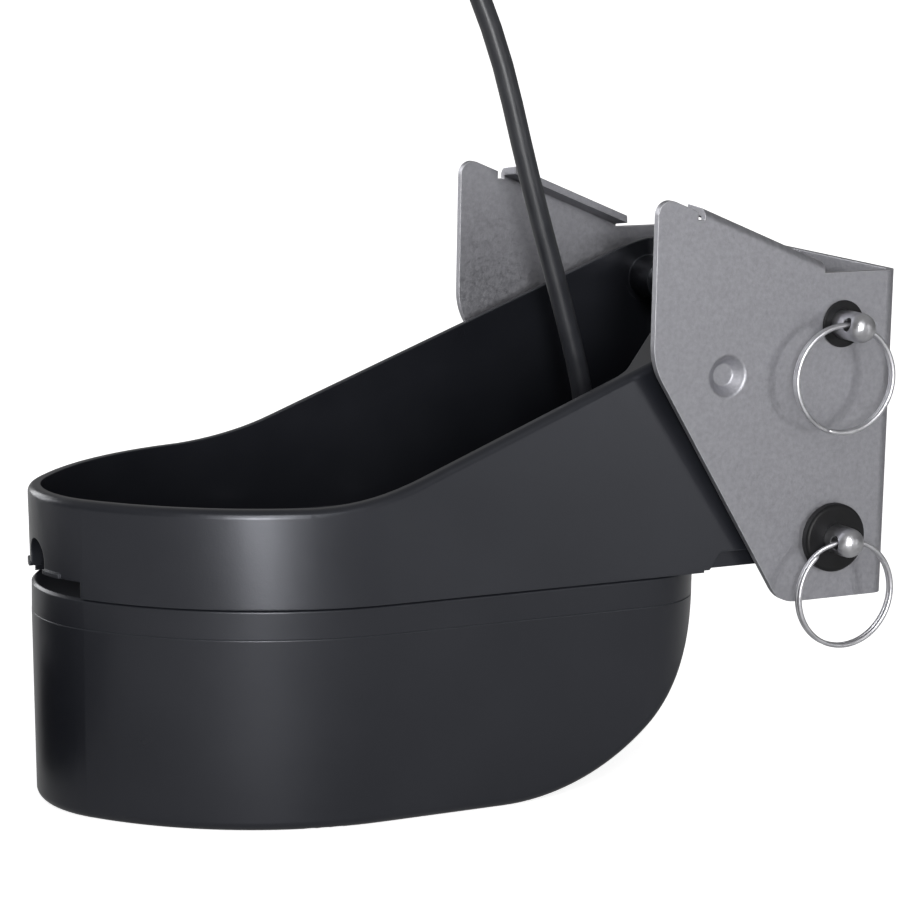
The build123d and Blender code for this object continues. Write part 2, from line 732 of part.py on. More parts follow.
def bent_lip(sign):
    """Lip folded inwards from a side plate, a little short of a right angle."""
    rise = NEAR_LIP_RISE if sign < 0 else FAR_LIP_RISE
    tilt = asin(rise / LIP_DEPTH)
    upright = SHEET * hypot(1.0, LIP_SLOPE)
    run = LIP_DEPTH * cos(tilt)
    underside = SHEET * tan(tilt) - upright / cos(tilt)
    leg = -RELIEF_DEPTH - LIP_LEG_LAP
    profile = [
        (sign * PLATE_OUTER_Y, 0.0),
        (sign * (PLATE_OUTER_Y - run), rise),
        (sign * (PLATE_OUTER_Y - run - upright * sin(tilt)), rise - upright * cos(tilt)),
        (sign * PLATE_INNER_Y, underside),
        (sign * PLATE_INNER_Y, leg),
        (sign * PLATE_OUTER_Y, leg),
    ]
    section = make_face(Polyline(*profile, close=True))
    section = fillet(corners_at(section, profile[0]), LIP_BEND_RADIUS)
    section = fillet(corners_at(section, profile[3]), LIP_BEND_RADIUS - SHEET)
    upright_section = Plane.YZ * section
    start = Pos(LIP_START_X, 0, lip_top(LIP_START_X)) * upright_section
    length = (LIP_END_X - LIP_START_X) * hypot(1.0, LIP_SLOPE)
    return extrude(start, amount=length, dir=(1, 0, -LIP_SLOPE))


def press_dimple(plate, sign):
    """Press a flat-bottomed cup with rounded edges inwards from the plate's outer face."""
    axis = Pos(DIMPLE_X, 0, DIMPLE_Z) * Rot(sign * 90, 0, 0) * Rot(180, 0, 0)
    bump = axis * Pos(0, 0, PLATE_INNER_Y - DIMPLE_DEPTH / 2) * Cone(
        DIMPLE_FLAT_RADIUS + DIMPLE_WALL, DIMPLE_OUTER_RADIUS + DIMPLE_WALL, DIMPLE_DEPTH
    )
    pocket = axis * Pos(0, 0, PLATE_OUTER_Y - DIMPLE_DEPTH / 2) * Cone(
        DIMPLE_FLAT_RADIUS, DIMPLE_OUTER_RADIUS, DIMPLE_DEPTH
    )
    pressed = plate + bump - pocket
    for y, radius, edge_radius in (
        (PLATE_OUTER_Y, DIMPLE_OUTER_RADIUS, DIMPLE_EDGE_RADIUS),
        (PLATE_OUTER_Y - DIMPLE_DEPTH, DIMPLE_FLAT_RADIUS, DIMPLE_FLOOR_RADIUS),
        (PLATE_INNER_Y - DIMPLE_DEPTH, DIMPLE_FLAT_RADIUS + DIMPLE_WALL, DIMPLE_EDGE_RADIUS),
        (PLATE_INNER_Y, DIMPLE_OUTER_RADIUS + DIMPLE_WALL, DIMPLE_FLOOR_RADIUS),
    ):
        rim = [
            edge
            for edge in pressed.edges()
            if edge.geom_type == GeomType.CIRCLE
            and abs(edge.radius - radius) < 1e-3
            and abs(abs(edge.center().Y) - y) < 1e-2
        ]
        pressed = fillet(rim, edge_radius)
    return pressed


def make_bracket():
    """Folded bracket: two side plates, a transom plate, bends and holes."""
    back = block(
        TRANSOM_X - SHEET,
        TRANSOM_X,
        -PLATE_OUTER_Y,
        PLATE_OUTER_Y,
        BRACKET_BOTTOM_Z,
        BRACKET_FRONT_TOP_Z,
    )
    bracket = back + bracket_side(-1) + bracket_side(1)

    def upright_edges(x, y):
        return [
            edge
            for edge in bracket.edges()
            if is_upright(edge)
            and abs(edge.center().X - x) < 1e-3
            and abs(abs(edge.center().Y) - y) < 1e-3
        ]

    bracket = fillet(upright_edges(TRANSOM_X, PLATE_OUTER_Y), BEND_INNER_RADIUS + SHEET)
    bracket = fillet(upright_edges(TRANSOM_X - SHEET, PLATE_INNER_Y), BEND_INNER_RADIUS)
    hole = BUSHING_SLEEVE_RADIUS + BUSHING_FIT
    for x, z in ((UPPER_PIN_X, UPPER_PIN_Z), (LOWER_PIN_X, LOWER_PIN_Z)):
        bracket -= rod_along_y(x, z, hole, -FAR / 2, FAR / 2)
    for y in (-SLOT_HALF_SPACING_Y, SLOT_HALF_SPACING_Y):
        for z in (SLOT_LOWER_Z, SLOT_UPPER_Z):
            slot = Plane.YZ * Pos(y, z) * Rot(0, 0, 90) * SlotOverall(SLOT_LENGTH, SLOT_WIDTH)
            bracket -= Pos(TRANSOM_X - 2 * SHEET, 0, 0) * extrude(slot, amount=4 * SHEET)
    return bracket


def make_bushings(x, z, radius, thickness, edge_radius):
    """Flanged plastic bushings in both side plates, on one pin."""
    bushings = []
    for sign in (-1, 1):
        seat, face = sign * PLATE_OUTER_Y, sign * (PLATE_OUTER_Y + thickness)
        flange = rod_along_y(x, z, radius, *sorted((seat, face)))
        rim = [
            edge
            for edge in flange.edges()
            if edge.geom_type == GeomType.CIRCLE and abs(edge.center().Y - face) < 1e-3
        ]
        flange = fillet(rim, edge_radius)
        sleeve_end = sign * PLATE_INNER_Y
        sleeve = rod_along_y(x, z, BUSHING_SLEEVE_RADIUS, *sorted((sleeve_end, seat)))
        bore = rod_along_y(x, z, PIN_RADIUS + PIN_CLEARANCE, -FAR / 2, FAR / 2)
        bushings.append(flange + sleeve - bore)
    return bushings


def make_pin(x, z, flange_thickness, turn):
    """Clevis pin: flat head on the far side, domed tip with a cross hole on the near side."""
    head_y = PLATE_OUTER_Y + flange_thickness
    tip_y = -(PLATE_OUTER_Y + PIN_TIP_REACH)
    shank = rod_along_y(x, z, PIN_RADIUS, tip_y, head_y)
    tip = [
        edge
        for edge in shank.edges()
        if edge.geom_type == GeomType.CIRCLE and abs(edge.center().Y - tip_y) < 1e-3
    ]
    shank = fillet(tip, PIN_TIP_DOME_RADIUS)
    head = rod_along_y(x, z, PIN_HEAD_RADIUS, head_y, head_y + PIN_HEAD_THICKNESS)
    rim = [
        edge
        for edge in head.edges()
        if edge.geom_type == GeomType.CIRCLE
        and abs(edge.center().Y - head_y - PIN_HEAD_THICKNESS) < 1e-3
    ]
    head = chamfer(rim, PIN_HEAD_CHAMFER)
    cross = Pos(x, CROSS_HOLE_Y, z) * Rot(0, turn, 0) * Rot(0, 90, 0)
    return shank + head - cross * Cylinder(CROSS_HOLE_RADIUS, 4 * PIN_RADIUS)


def make_ring(x, z, turn, yaw):
    """Split ring of two wire turns that hangs in the pin's cross hole."""
    wire = Torus(RING_MEAN_RADIUS, RING_WIRE_RADIUS)
    half_pitch = RING_WIRE_RADIUS - RING_COIL_LAP / 2
    ring = Pos(0, 0, half_pitch) * wire + Pos(0, 0, -half_pitch) * wire
    drop = RING_SEAT_RISE - RING_MEAN_RADIUS
    hang = Rot(0, turn, 0) * Rot(0, 0, yaw) * Pos(0, 0, drop) * Rot(90, 0, 0)
    return Pos(x, CROSS_HOLE_Y, z) * hang * ring


def make_screws():
    """Pan-head screws that hold the fairing's floor to the lid."""
    screws = []
    for x, y in screw_points():
        shank = rod_along_z(x, y, SCREW_RADIUS, FLOOR_Z - SCREW_LENGTH, FLOOR_Z)
        head = rod_along_z(x, y, SCREW_HEAD_RADIUS, FLOOR_Z, FLOOR_Z + SCREW_HEAD_HEIGHT)
        head = fillet(head.faces().sort_by(Axis.Z)[-1].edges(), SCREW_HEAD_HEIGHT / 2)
        socket = rod_along_z(
            x, y, SCREW_SOCKET_RADIUS, FLOOR_Z + SCREW_HEAD_HEIGHT / 2, RIM_FRONT_Z
        )
        screws.append(shank + head - socket)
    return screws


def make_gland():
    """Cable gland: seal washer, body with a stem, clamping nut, strain relief and its top."""
    seal_top = FLOOR_Z + GLAND_SEAL_HEIGHT
    body_top = seal_top + GLAND_BODY_HEIGHT
    nut_top = body_top + GLAND_NUT_HEIGHT
    boot_top = nut_top + RELIEF_BOOT_HEIGHT
    here = Pos(CABLE_X, CABLE_Y, 0)
    bore = rod_along_z(CABLE_X, CABLE_Y, CABLE_RADIUS, CUP_TOP_Z, boot_top)
    seal = rod_along_z(CABLE_X, CABLE_Y, GLAND_SEAL_RADIUS, FLOOR_Z, seal_top)
    seal -= rod_along_z(CABLE_X, CABLE_Y, GLAND_STEM_RADIUS, FLOOR_Z, seal_top)
    hexagon = RegularPolygon(GLAND_HEX / 2, 6, major_radius=False)
    body = here * Pos(0, 0, seal_top) * extrude(hexagon, amount=GLAND_BODY_HEIGHT)
    body += rod_along_z(CABLE_X, CABLE_Y, GLAND_STEM_RADIUS, CUP_TOP_Z, seal_top)
    nut_hexagon = RegularPolygon(GLAND_NUT_HEX / 2, 6, major_radius=False)
    nut = here * Pos(0, 0, body_top) * extrude(nut_hexagon, amount=GLAND_NUT_HEIGHT)
    nut &= here * Pos(0, 0, (body_top + nut_top) / 2) * Cone(
        GLAND_NUT_LOWER_CONE, GLAND_NUT_UPPER_CONE, GLAND_NUT_HEIGHT
    )
    boot = here * Pos(0, 0, (nut_top + boot_top) / 2) * Cone(
        RELIEF_BOOT_RADIUS, RELIEF_BOOT_TIP_RADIUS, RELIEF_BOOT_HEIGHT
    )
    return seal, body - bore, nut - bore, boot - bore, boot_top


def tube(points, radius):
    """Tube along straight runs joined by the largest tangent arcs that fit."""
    vectors = [Vector(*point) for point in points]
    radii = []
    for before, here, after in zip(vectors, vectors[1:], vectors[2:]):
        turn = radians((here - before).get_angle(after - here))
        shorter = min((here - before).length, (after - here).length)
        radii.append(BEND_SHARE * shorter / tan(turn / 2))
    print("bend radii", [round(value) for value in radii])
    path = FilletPolyline(*vectors, radius=radii)
    start = Plane(vectors[0], z_dir=(vectors[1] - vectors[0]).normalized())
    solid = sweep(start * Circle(radius), path=path)
    ratio = solid.volume / (pi * radius**2 * path.length)
    print("tube length", round(path.length, 1), "volume ratio", round(ratio, 4))
    return solid


def make_leads():
    """Two insulated leads from the cable's inner end to the terminal board."""
    board_end = BOARD_X + BOARD_LENGTH / 2 - 2 * LEAD_RADIUS
    lead_z = POTTING_TOP_Z + BOARD_THICKNESS + LEAD_RADIUS
    leads = []
    for sign in (-1, 1):
        path = FilletPolyline(
            (CABLE_X, CABLE_Y + sign * LEAD_SPREAD, CABLE_INNER_END_Z),
            (CABLE_X, CABLE_Y + sign * LEAD_SPREAD, lead_z),
            (LEAD_TURN_X, sign * LEAD_BOARD_Y, lead_z),
            (board_end, sign * LEAD_BOARD_Y, lead_z),
            radius=[LEAD_DROP_BEND, LEAD_SIDE_BEND],
        )
        start = Plane(path @ 0, z_dir=path % 0)
        leads.append(sweep(start * Circle(LEAD_RADIUS), path=path))
    return leads


def make_coil():
    """Outer shape of the coiled cable."""
    section = Plane.XZ * Pos(COIL_MEAN_RADIUS, COIL_BASE_Z + COIL_BUNDLE_HEIGHT / 2) * (
        RectangleRounded(COIL_BUNDLE_WIDTH, COIL_BUNDLE_HEIGHT, COIL_BUNDLE_CORNER)
    )
    return Pos(COIL_X, COIL_Y, 0) * revolve(section, Axis.Z)


def make_ties():
    """Hook-and-loop straps around the coil's bundle."""
    ties = []
    for angle in TIE_ANGLES:
        outer = RectangleRounded(
            COIL_BUNDLE_WIDTH + 2 * TIE_THICKNESS,
            COIL_BUNDLE_HEIGHT + 2 * TIE_THICKNESS,
            COIL_BUNDLE_CORNER + TIE_THICKNESS,
        )
        inner = RectangleRounded(COIL_BUNDLE_WIDTH, COIL_BUNDLE_HEIGHT, COIL_BUNDLE_CORNER)
        centre = Pos(COIL_MEAN_RADIUS, COIL_BASE_Z + COIL_BUNDLE_HEIGHT / 2)
        band_angle = degrees(TIE_WIDTH / COIL_MEAN_RADIUS)
        band = revolve(Plane.XZ * centre * (outer - inner), Axis.Z, band_angle)
        ties.append(Pos(COIL_X, COIL_Y, 0) * Rot(0, 0, angle) * band)
    return ties


def plug_place():
    """Frame of the plug: origin at the rear end of its shell, Z along its axis."""
    before, end = Vector(*TAIL_ROUTE[-2]), Vector(*TAIL_ROUTE[-1])
    heading = (end - before).normalized()
    return Plane(end + heading * PLUG_BOOT_LENGTH, x_dir=(0, 0, 1), z_dir=heading)


def make_plug():
    """Round plug: shell, knurled coupling ring, contact pins and a rear boot."""
    place = plug_place()
    shell = place * Pos(0, 0, PLUG_LENGTH / 2) * Cylinder(PLUG_RADIUS, PLUG_LENGTH)
    socket_middle = PLUG_LENGTH - PLUG_SOCKET_DEPTH / 2
    shell -= place * Pos(0, 0, socket_middle) * Cylinder(PLUG_SOCKET_RADIUS, PLUG_SOCKET_DEPTH)
    ring_middle = PLUG_RING_OFFSET + PLUG_RING_LENGTH / 2
    ring = Cylinder(PLUG_RING_RADIUS, PLUG_RING_LENGTH)
    ring = chamfer(ring.edges().filter_by(GeomType.CIRCLE), PLUG_RING_CHAMFER)
    for step in range(PLUG_FLUTES):
        angle = 360.0 * step / PLUG_FLUTES
        ring -= Rot(0, 0, angle) * Pos(PLUG_RING_RADIUS, 0, 0) * Cylinder(
            PLUG_FLUTE_RADIUS, PLUG_RING_LENGTH
        )
    ring -= Cylinder(PLUG_RADIUS, PLUG_RING_LENGTH)
    ring = place * Pos(0, 0, ring_middle) * ring
    pins = []
    pin_middle = PLUG_LENGTH - PLUG_SOCKET_DEPTH + PLUG_PIN_LENGTH / 2
    for step in range(PLUG_PIN_COUNT):
        angle = 2 * pi * step / PLUG_PIN_COUNT
        spot = Pos(PLUG_PIN_CIRCLE * cos(angle), PLUG_PIN_CIRCLE * sin(angle), pin_middle)
        pins.append(place * spot * Cylinder(PLUG_PIN_RADIUS, PLUG_PIN_LENGTH))
    boot = place * Pos(0, 0, -PLUG_BOOT_LENGTH / 2) * Cone(
        PLUG_BOOT_TIP_RADIUS, PLUG_BOOT_RADIUS, PLUG_BOOT_LENGTH
    )
    return shell, ring, pins, boot


def write(name, shapes):
    """Write one node as a STEP file."""
    solids = []
    for shape in shapes if isinstance(shapes, (list, tuple)) else [shapes]:
        solids += shape.solids()
    node = solids[0] if len(solids) == 1 else Compound(children=solids)
    export_step(node, f"parts/{name}.step")


cup, cup_inside = make_lower_housing()
elements = make_elements()
matching_layer = make_matching_layer()
backing = make_backing()
sensor = make_sensor()
seal, gland_body, gland_nut, boot, boot_top = make_gland()
cable = tube(CABLE_ROUTE, CABLE_RADIUS)
tail = tube(TAIL_ROUTE, CABLE_RADIUS)
plug_shell, plug_ring, plug_pins, plug_boot = make_plug()

write("lower_housing", cup)
write("housing_lid", make_lid())
write("upper_fairing", make_fairing())
write("mounting_bracket", make_bracket())
write("matching_layer", matching_layer)
write("ceramic_elements", elements)
write("element_backing", backing)
write("potting_compound", make_potting(cup_inside, elements + [matching_layer, backing, sensor]))
write("terminal_board", make_board())
write("matching_transformer", make_transformer())
write("signal_leads", make_leads())
write("temperature_sensor", sensor)
write("lid_screws", make_screws())
write("gland_seal", seal)
write("cable_gland_body", gland_body)
write("gland_nut", gland_nut)
write("strain_relief", boot)
upper_place = (UPPER_PIN_X, UPPER_PIN_Z)
lower_place = (LOWER_PIN_X, LOWER_PIN_Z)
upper_flange = (UPPER_FLANGE_RADIUS, UPPER_FLANGE_THICKNESS, UPPER_FLANGE_EDGE_RADIUS)
lower_flange = (LOWER_FLANGE_RADIUS, LOWER_FLANGE_THICKNESS, LOWER_FLANGE_EDGE_RADIUS)
write("upper_bushings", make_bushings(*upper_place, *upper_flange))
write("lower_bushings", make_bushings(*lower_place, *lower_flange))
write("upper_pin", make_pin(*upper_place, UPPER_FLANGE_THICKNESS, UPPER_PIN_TURN))
write("lower_pin", make_pin(*lower_place, LOWER_FLANGE_THICKNESS, LOWER_PIN_TURN))
write("upper_ring", make_ring(*upper_place, UPPER_PIN_TURN, UPPER_RING_YAW))
write("lower_ring", make_ring(*lower_place, LOWER_PIN_TURN, LOWER_RING_YAW))
write("cable_gland_end", rod_along_z(CABLE_X, CABLE_Y, CABLE_RADIUS, CABLE_INNER_END_Z, boot_top))
write("cable", cable)
write("cable_coil", make_coil() - cable - tail)
write("cable_tail", tail)
write("coil_ties", make_ties())
write("connector_body", plug_shell)
write("connector_coupling", plug_ring)
write("connector_pins", plug_pins)
write("connector_boot", plug_boot)
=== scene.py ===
# %% [markdown]
# # A transom-mount sonar transducer
#
# The object is a boat's echo sounder: a potted, boat-shaped housing under an open bucket-shaped
# fairing, pinned into a folded stainless bracket, with a long rubber cable. The construction is
# already modelled, in metres, and comes in as a fixed frame. What follows adds the camera, the
# light, the finish of every surface, and the pieces that a solid model leaves plain.
#
# The split rings' wire and the strain relief are surfaces of two parameters, worked out with
# numpy, and the cable is one spline. That keeps each shape tied to a few real sizes, and a reader
# can change one and see what follows.

import bpy
import numpy as np
from mathutils import Matrix, Vector


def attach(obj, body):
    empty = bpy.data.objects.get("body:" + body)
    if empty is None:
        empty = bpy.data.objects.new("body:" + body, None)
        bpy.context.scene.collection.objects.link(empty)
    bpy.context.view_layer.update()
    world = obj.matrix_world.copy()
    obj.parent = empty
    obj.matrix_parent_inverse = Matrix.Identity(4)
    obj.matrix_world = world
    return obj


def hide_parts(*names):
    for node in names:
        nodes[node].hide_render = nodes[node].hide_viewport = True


MM = 0.001
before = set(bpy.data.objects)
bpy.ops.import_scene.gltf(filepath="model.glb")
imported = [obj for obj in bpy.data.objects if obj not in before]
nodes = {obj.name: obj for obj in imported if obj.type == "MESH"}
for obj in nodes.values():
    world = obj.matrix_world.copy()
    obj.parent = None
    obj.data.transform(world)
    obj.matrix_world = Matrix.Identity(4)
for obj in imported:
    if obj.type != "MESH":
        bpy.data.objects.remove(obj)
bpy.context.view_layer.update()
print("pieces of the frame:", len(nodes))

# %% [markdown]
# ## The camera
#
# The photograph was taken from the aft quarter with a long lens, slightly above the rim. A camera
# can be placed by eye, or worked out from straight edges whose real directions are known. The
# second way is used: position, axes and focal length below follow from the bracket's edges, the
# seam and the rim. The small roll is the photographer's.

# %% Place the camera
CAMERA_AT = Vector((-0.39683, -0.86253, 0.28713))
CAMERA_AZIMUTH = np.radians(-27.0)
CAMERA_ELEVATION = np.radians(10.79)
CAMERA_ROLL = np.radians(1.08)
FOCAL_PX = 3015.8
IMAGE_PX = 900
SENSOR_MM = 36.0
NEAREST_SEEN = 0.01
FARTHEST_SEEN = 50.0


def camera_axes(azimuth, elevation, roll):
    """Right, up and back: back = (sin a cos e, -cos a cos e, sin e), the others turned by roll."""
    back = np.array(
        [
            np.sin(azimuth) * np.cos(elevation),
            -np.cos(azimuth) * np.cos(elevation),
            np.sin(elevation),
        ]
    )
    level_right = np.array([np.cos(azimuth), np.sin(azimuth), 0.0])
    level_up = np.cross(back, level_right)
    right = np.cos(roll) * level_right + np.sin(roll) * level_up
    up = -np.sin(roll) * level_right + np.cos(roll) * level_up
    return right, up, back


def place_camera():
    """A camera object at the fitted place, made the scene's own."""
    lens = bpy.data.cameras.new("photo_camera")
    lens.sensor_width = SENSOR_MM
    lens.lens = FOCAL_PX * SENSOR_MM / IMAGE_PX
    lens.clip_start = NEAREST_SEEN
    lens.clip_end = FARTHEST_SEEN
    camera = bpy.data.objects.new("photo_camera", lens)
    axes = camera_axes(CAMERA_AZIMUTH, CAMERA_ELEVATION, CAMERA_ROLL)
    turn = Matrix([[axes[col][row] for col in range(3)] for row in range(3)])
    camera.matrix_world = Matrix.Translation(CAMERA_AT) @ turn.to_4x4()
    bpy.context.scene.collection.objects.link(camera)
    bpy.context.scene.camera = camera
    return camera


camera = place_camera()
print("lens in mm:", round(camera.data.lens, 2))

# %% [markdown]
# ## Room and light
#
# The photograph has a plain white ground and soft light from the front. A white ground could be
# had by flooding the scene with light, but that bleaches the object too. Here the floor and the
# world look white to the camera through Light Path, and the lamps stay at a level at which a
# colour renders about as it is written. The floor keeps its shadow.
#
# Satin black plastic gets most of its tone from what it mirrors, so the room that it mirrors is a
# dim grey, a little brighter overhead, and the floor adds only a faint glow in a reflection. The
# lamps are a narrow strip that draws the upright streak on the cup, a broad box in front, a weak
# one for the bracket's near side and a large one behind.

# %% Helpers for node trees
def link(tree, source, target):
    """Join an output socket to an input socket."""
    tree.links.new(source, target)


def add_node(tree, kind, **values):
    """A new node with its properties, or its inputs by name, set."""
    node = tree.nodes.new(kind)
    for name, value in values.items():
        if hasattr(node, name):
            setattr(node, name, value)
        else:
            node.inputs[name].default_value = value
    return node


def math_node(tree, operation, first, second=None, clamp=False):
    """A Math node whose inputs are sockets or plain numbers; gives its output socket."""
    node = tree.nodes.new("ShaderNodeMath")
    node.operation = operation
    node.use_clamp = clamp
    for slot, value in enumerate((first, second)):
        if value is None:
            continue
        if isinstance(value, (int, float)):
            node.inputs[slot].default_value = value
        else:
            link(tree, value, node.inputs[slot])
    return node.outputs[0]


# %% Make the white world
HORIZON_LEVEL = 0.24
OVERHEAD_LEVEL = 0.36
HORIZON_UP_TO = 0.2
OVERHEAD_FROM = 0.8


def make_world():
    """White to camera and transmission rays; to others a grey set by how the ray rises.

    Strength runs smoothly from the horizon's level to the overhead one as the z of the ray's
    direction goes from HORIZON_UP_TO to OVERHEAD_FROM.
    """
    world = bpy.data.worlds.new("studio")
    world.use_nodes = True
    tree = world.node_tree
    tree.nodes.clear()
    path = add_node(tree, "ShaderNodeLightPath")
    seen = math_node(
        tree, "ADD", path.outputs["Is Camera Ray"], path.outputs["Is Transmission Ray"], clamp=True
    )
    place = add_node(tree, "ShaderNodeTexCoord")
    parts = add_node(tree, "ShaderNodeSeparateXYZ")
    fade = add_node(tree, "ShaderNodeMapRange", interpolation_type="SMOOTHSTEP")
    fade.inputs["From Min"].default_value = HORIZON_UP_TO
    fade.inputs["From Max"].default_value = OVERHEAD_FROM
    fade.inputs["To Min"].default_value = HORIZON_LEVEL
    fade.inputs["To Max"].default_value = OVERHEAD_LEVEL
    link(tree, place.outputs["Generated"], parts.inputs[0])
    link(tree, parts.outputs["Z"], fade.inputs["Value"])
    strength = math_node(tree, "MAXIMUM", fade.outputs[0], seen)
    paper = add_node(tree, "ShaderNodeBackground", Color=(1, 1, 1, 1))
    out = add_node(tree, "ShaderNodeOutputWorld")
    link(tree, strength, paper.inputs["Strength"])
    link(tree, paper.outputs[0], out.inputs[0])
    bpy.context.scene.world = world
    return world


print("world:", make_world().name)

# %% Lay the floor
FLOOR_HALF = 6.0
FLOOR_LEVEL = -0.0002
FLOOR_PAPER = (0.62, 0.62, 0.62, 1)
FLOOR_SEEN_LIFT = 0.80
FLOOR_MIRRORED_LIFT = 0.05
WHITE_FROM = 0.5
WHITE_AT = 1.5


def make_floor():
    """One square under the object, pale and matte, with a glow that only some rays see.

    To the camera the glow is FLOOR_SEEN_LIFT under the object and 1 from WHITE_AT metres on. In a
    reflection it is FLOOR_MIRRORED_LIFT. The matte part keeps the shadow.
    """
    mesh = bpy.data.meshes.new("floor")
    corners = np.array([[-1, -1], [1, -1], [1, 1], [-1, 1]]) * FLOOR_HALF
    points = np.column_stack([corners, np.full(4, FLOOR_LEVEL)])
    mesh.from_pydata(points.tolist(), [], [(0, 1, 2, 3)])
    floor = bpy.data.objects.new("floor", mesh)
    bpy.context.scene.collection.objects.link(floor)
    material = bpy.data.materials.new("floor_paper")
    material.use_nodes = True
    tree = material.node_tree
    tree.nodes.clear()
    paper = add_node(tree, "ShaderNodeBsdfDiffuse", Color=FLOOR_PAPER)
    path = add_node(tree, "ShaderNodeLightPath")
    place = add_node(tree, "ShaderNodeTexCoord")
    distance = add_node(tree, "ShaderNodeVectorMath", operation="LENGTH")
    away = add_node(tree, "ShaderNodeMapRange", interpolation_type="SMOOTHSTEP")
    away.inputs["From Min"].default_value = WHITE_FROM
    away.inputs["From Max"].default_value = WHITE_AT
    away.inputs["To Min"].default_value = FLOOR_SEEN_LIFT
    away.inputs["To Max"].default_value = 1.0
    link(tree, place.outputs["Object"], distance.inputs[0])
    link(tree, distance.outputs["Value"], away.inputs["Value"])
    seen = math_node(tree, "MULTIPLY", path.outputs["Is Camera Ray"], away.outputs[0])
    mirrored = math_node(tree, "MULTIPLY", path.outputs["Is Glossy Ray"], FLOOR_MIRRORED_LIFT)
    glow = add_node(tree, "ShaderNodeEmission", Color=(1, 1, 1, 1))
    both = add_node(tree, "ShaderNodeAddShader")
    out = add_node(tree, "ShaderNodeOutputMaterial")
    link(tree, math_node(tree, "ADD", seen, mirrored), glow.inputs["Strength"])
    link(tree, paper.outputs[0], both.inputs[0])
    link(tree, glow.outputs[0], both.inputs[1])
    link(tree, both.outputs[0], out.inputs[0])
    mesh.materials.append(material)
    return floor


floor = make_floor()
print("floor size in m:", 2 * FLOOR_HALF)

# %% Hang the lamps
def soft_lamp(name, place, target, size, power):
    """A rectangular area lamp at place that faces target; size is (width, height) in metres."""
    data = bpy.data.lights.new(name, "AREA")
    data.shape = "RECTANGLE"
    data.size, data.size_y = size
    data.energy = power
    lamp = bpy.data.objects.new(name, data)
    aim = Vector(target) - Vector(place)
    turn = aim.to_track_quat("-Z", "Y").to_matrix()
    lamp.matrix_world = Matrix.Translation(place) @ turn.to_4x4()
    bpy.context.scene.collection.objects.link(lamp)
    return lamp


MIDDLE = (0.03, 0.0, 0.09)
PLATE = (0.12, -0.06, 0.12)
soft_lamp("strip_box", (-0.56, -1.48, 0.27), MIDDLE, (0.14, 0.46), 20.0)
soft_lamp("front_box", (-0.45, -1.45, 1.00), MIDDLE, (0.7, 0.5), 12.0)
soft_lamp("key_box", (1.10, -1.62, 0.20), PLATE, (0.30, 0.45), 2.0)
soft_lamp("back_box", (-0.75, 1.30, 0.60), MIDDLE, (1.1, 0.8), 13.0)

# %% [markdown]
# ## Effects that several finishes share
#
# A moulded plastic part, a sheet of stainless and a turned pin all have fine grain, faint
# blotches and slightly rounded edges. Each effect could be built again in every material. It is
# built once as a node group instead, with its amounts as inputs, and placed where it is needed.
# Groups put out only values and normals. Patterns read Object coordinates, so they stay on the
# piece when it moves.

# %% Open a node group
def open_group(name, inputs, outputs):
    """A node group with float inputs and outputs of given kinds; gives tree, input and output."""
    tree = bpy.data.node_groups.new(name, "ShaderNodeTree")
    for label, default in inputs.items():
        socket = tree.interface.new_socket(label, in_out="INPUT", socket_type="NodeSocketFloat")
        socket.default_value = default
    for label, kind in outputs.items():
        tree.interface.new_socket(label, in_out="OUTPUT", socket_type=kind)
    return tree, tree.nodes.new("NodeGroupInput"), tree.nodes.new("NodeGroupOutput")


# %% Grain: fine pits and soft blotches
BLOTCH_LOW = 0.32
BLOTCH_HIGH = 0.68


def make_grain_group():
    """Height = fine noise, Blotch = broad noise with BLOTCH_LOW..BLOTCH_HIGH stretched to 0..1."""
    tree, given, result = open_group(
        "surface_grain",
        {"Grain Scale": 1500.0, "Blotch Scale": 30.0},
        {"Height": "NodeSocketFloat", "Blotch": "NodeSocketFloat"},
    )
    place = add_node(tree, "ShaderNodeTexCoord")
    fine = add_node(tree, "ShaderNodeTexNoise", Detail=2.0, Roughness=0.6)
    broad = add_node(tree, "ShaderNodeTexNoise", Detail=4.0, Roughness=0.55)
    spread = add_node(tree, "ShaderNodeMapRange")
    spread.inputs["From Min"].default_value = BLOTCH_LOW
    spread.inputs["From Max"].default_value = BLOTCH_HIGH
    link(tree, place.outputs["Object"], fine.inputs["Vector"])
    link(tree, place.outputs["Object"], broad.inputs["Vector"])
    link(tree, given.outputs["Grain Scale"], fine.inputs["Scale"])
    link(tree, given.outputs["Blotch Scale"], broad.inputs["Scale"])
    link(tree, broad.outputs[0], spread.inputs["Value"])
    link(tree, fine.outputs[0], result.inputs["Height"])
    link(tree, spread.outputs[0], result.inputs["Blotch"])
    return tree


grain_group = make_grain_group()
print("group:", grain_group.name)


# %% Drag marks: long fine scratches along one axis
def make_drag_group():
    """Noise on coordinates squeezed along one axis, so that it draws into long fine lines."""
    tree, given, result = open_group(
        "drag_marks",
        {"Scale": 900.0, "Along X": 0.02, "Along Y": 1.0, "Along Z": 1.0},
        {"Height": "NodeSocketFloat"},
    )
    place = add_node(tree, "ShaderNodeTexCoord")
    squeeze = add_node(tree, "ShaderNodeCombineXYZ")
    product = add_node(tree, "ShaderNodeVectorMath", operation="MULTIPLY")
    noise = add_node(tree, "ShaderNodeTexNoise", Detail=3.0, Roughness=0.65)
    for axis in "XYZ":
        link(tree, given.outputs["Along " + axis], squeeze.inputs[axis])
    link(tree, place.outputs["Object"], product.inputs[0])
    link(tree, squeeze.outputs[0], product.inputs[1])
    link(tree, product.outputs[0], noise.inputs["Vector"])
    link(tree, given.outputs["Scale"], noise.inputs["Scale"])
    link(tree, noise.outputs[0], result.inputs["Height"])
    return tree


drag_group = make_drag_group()
print("group:", drag_group.name)


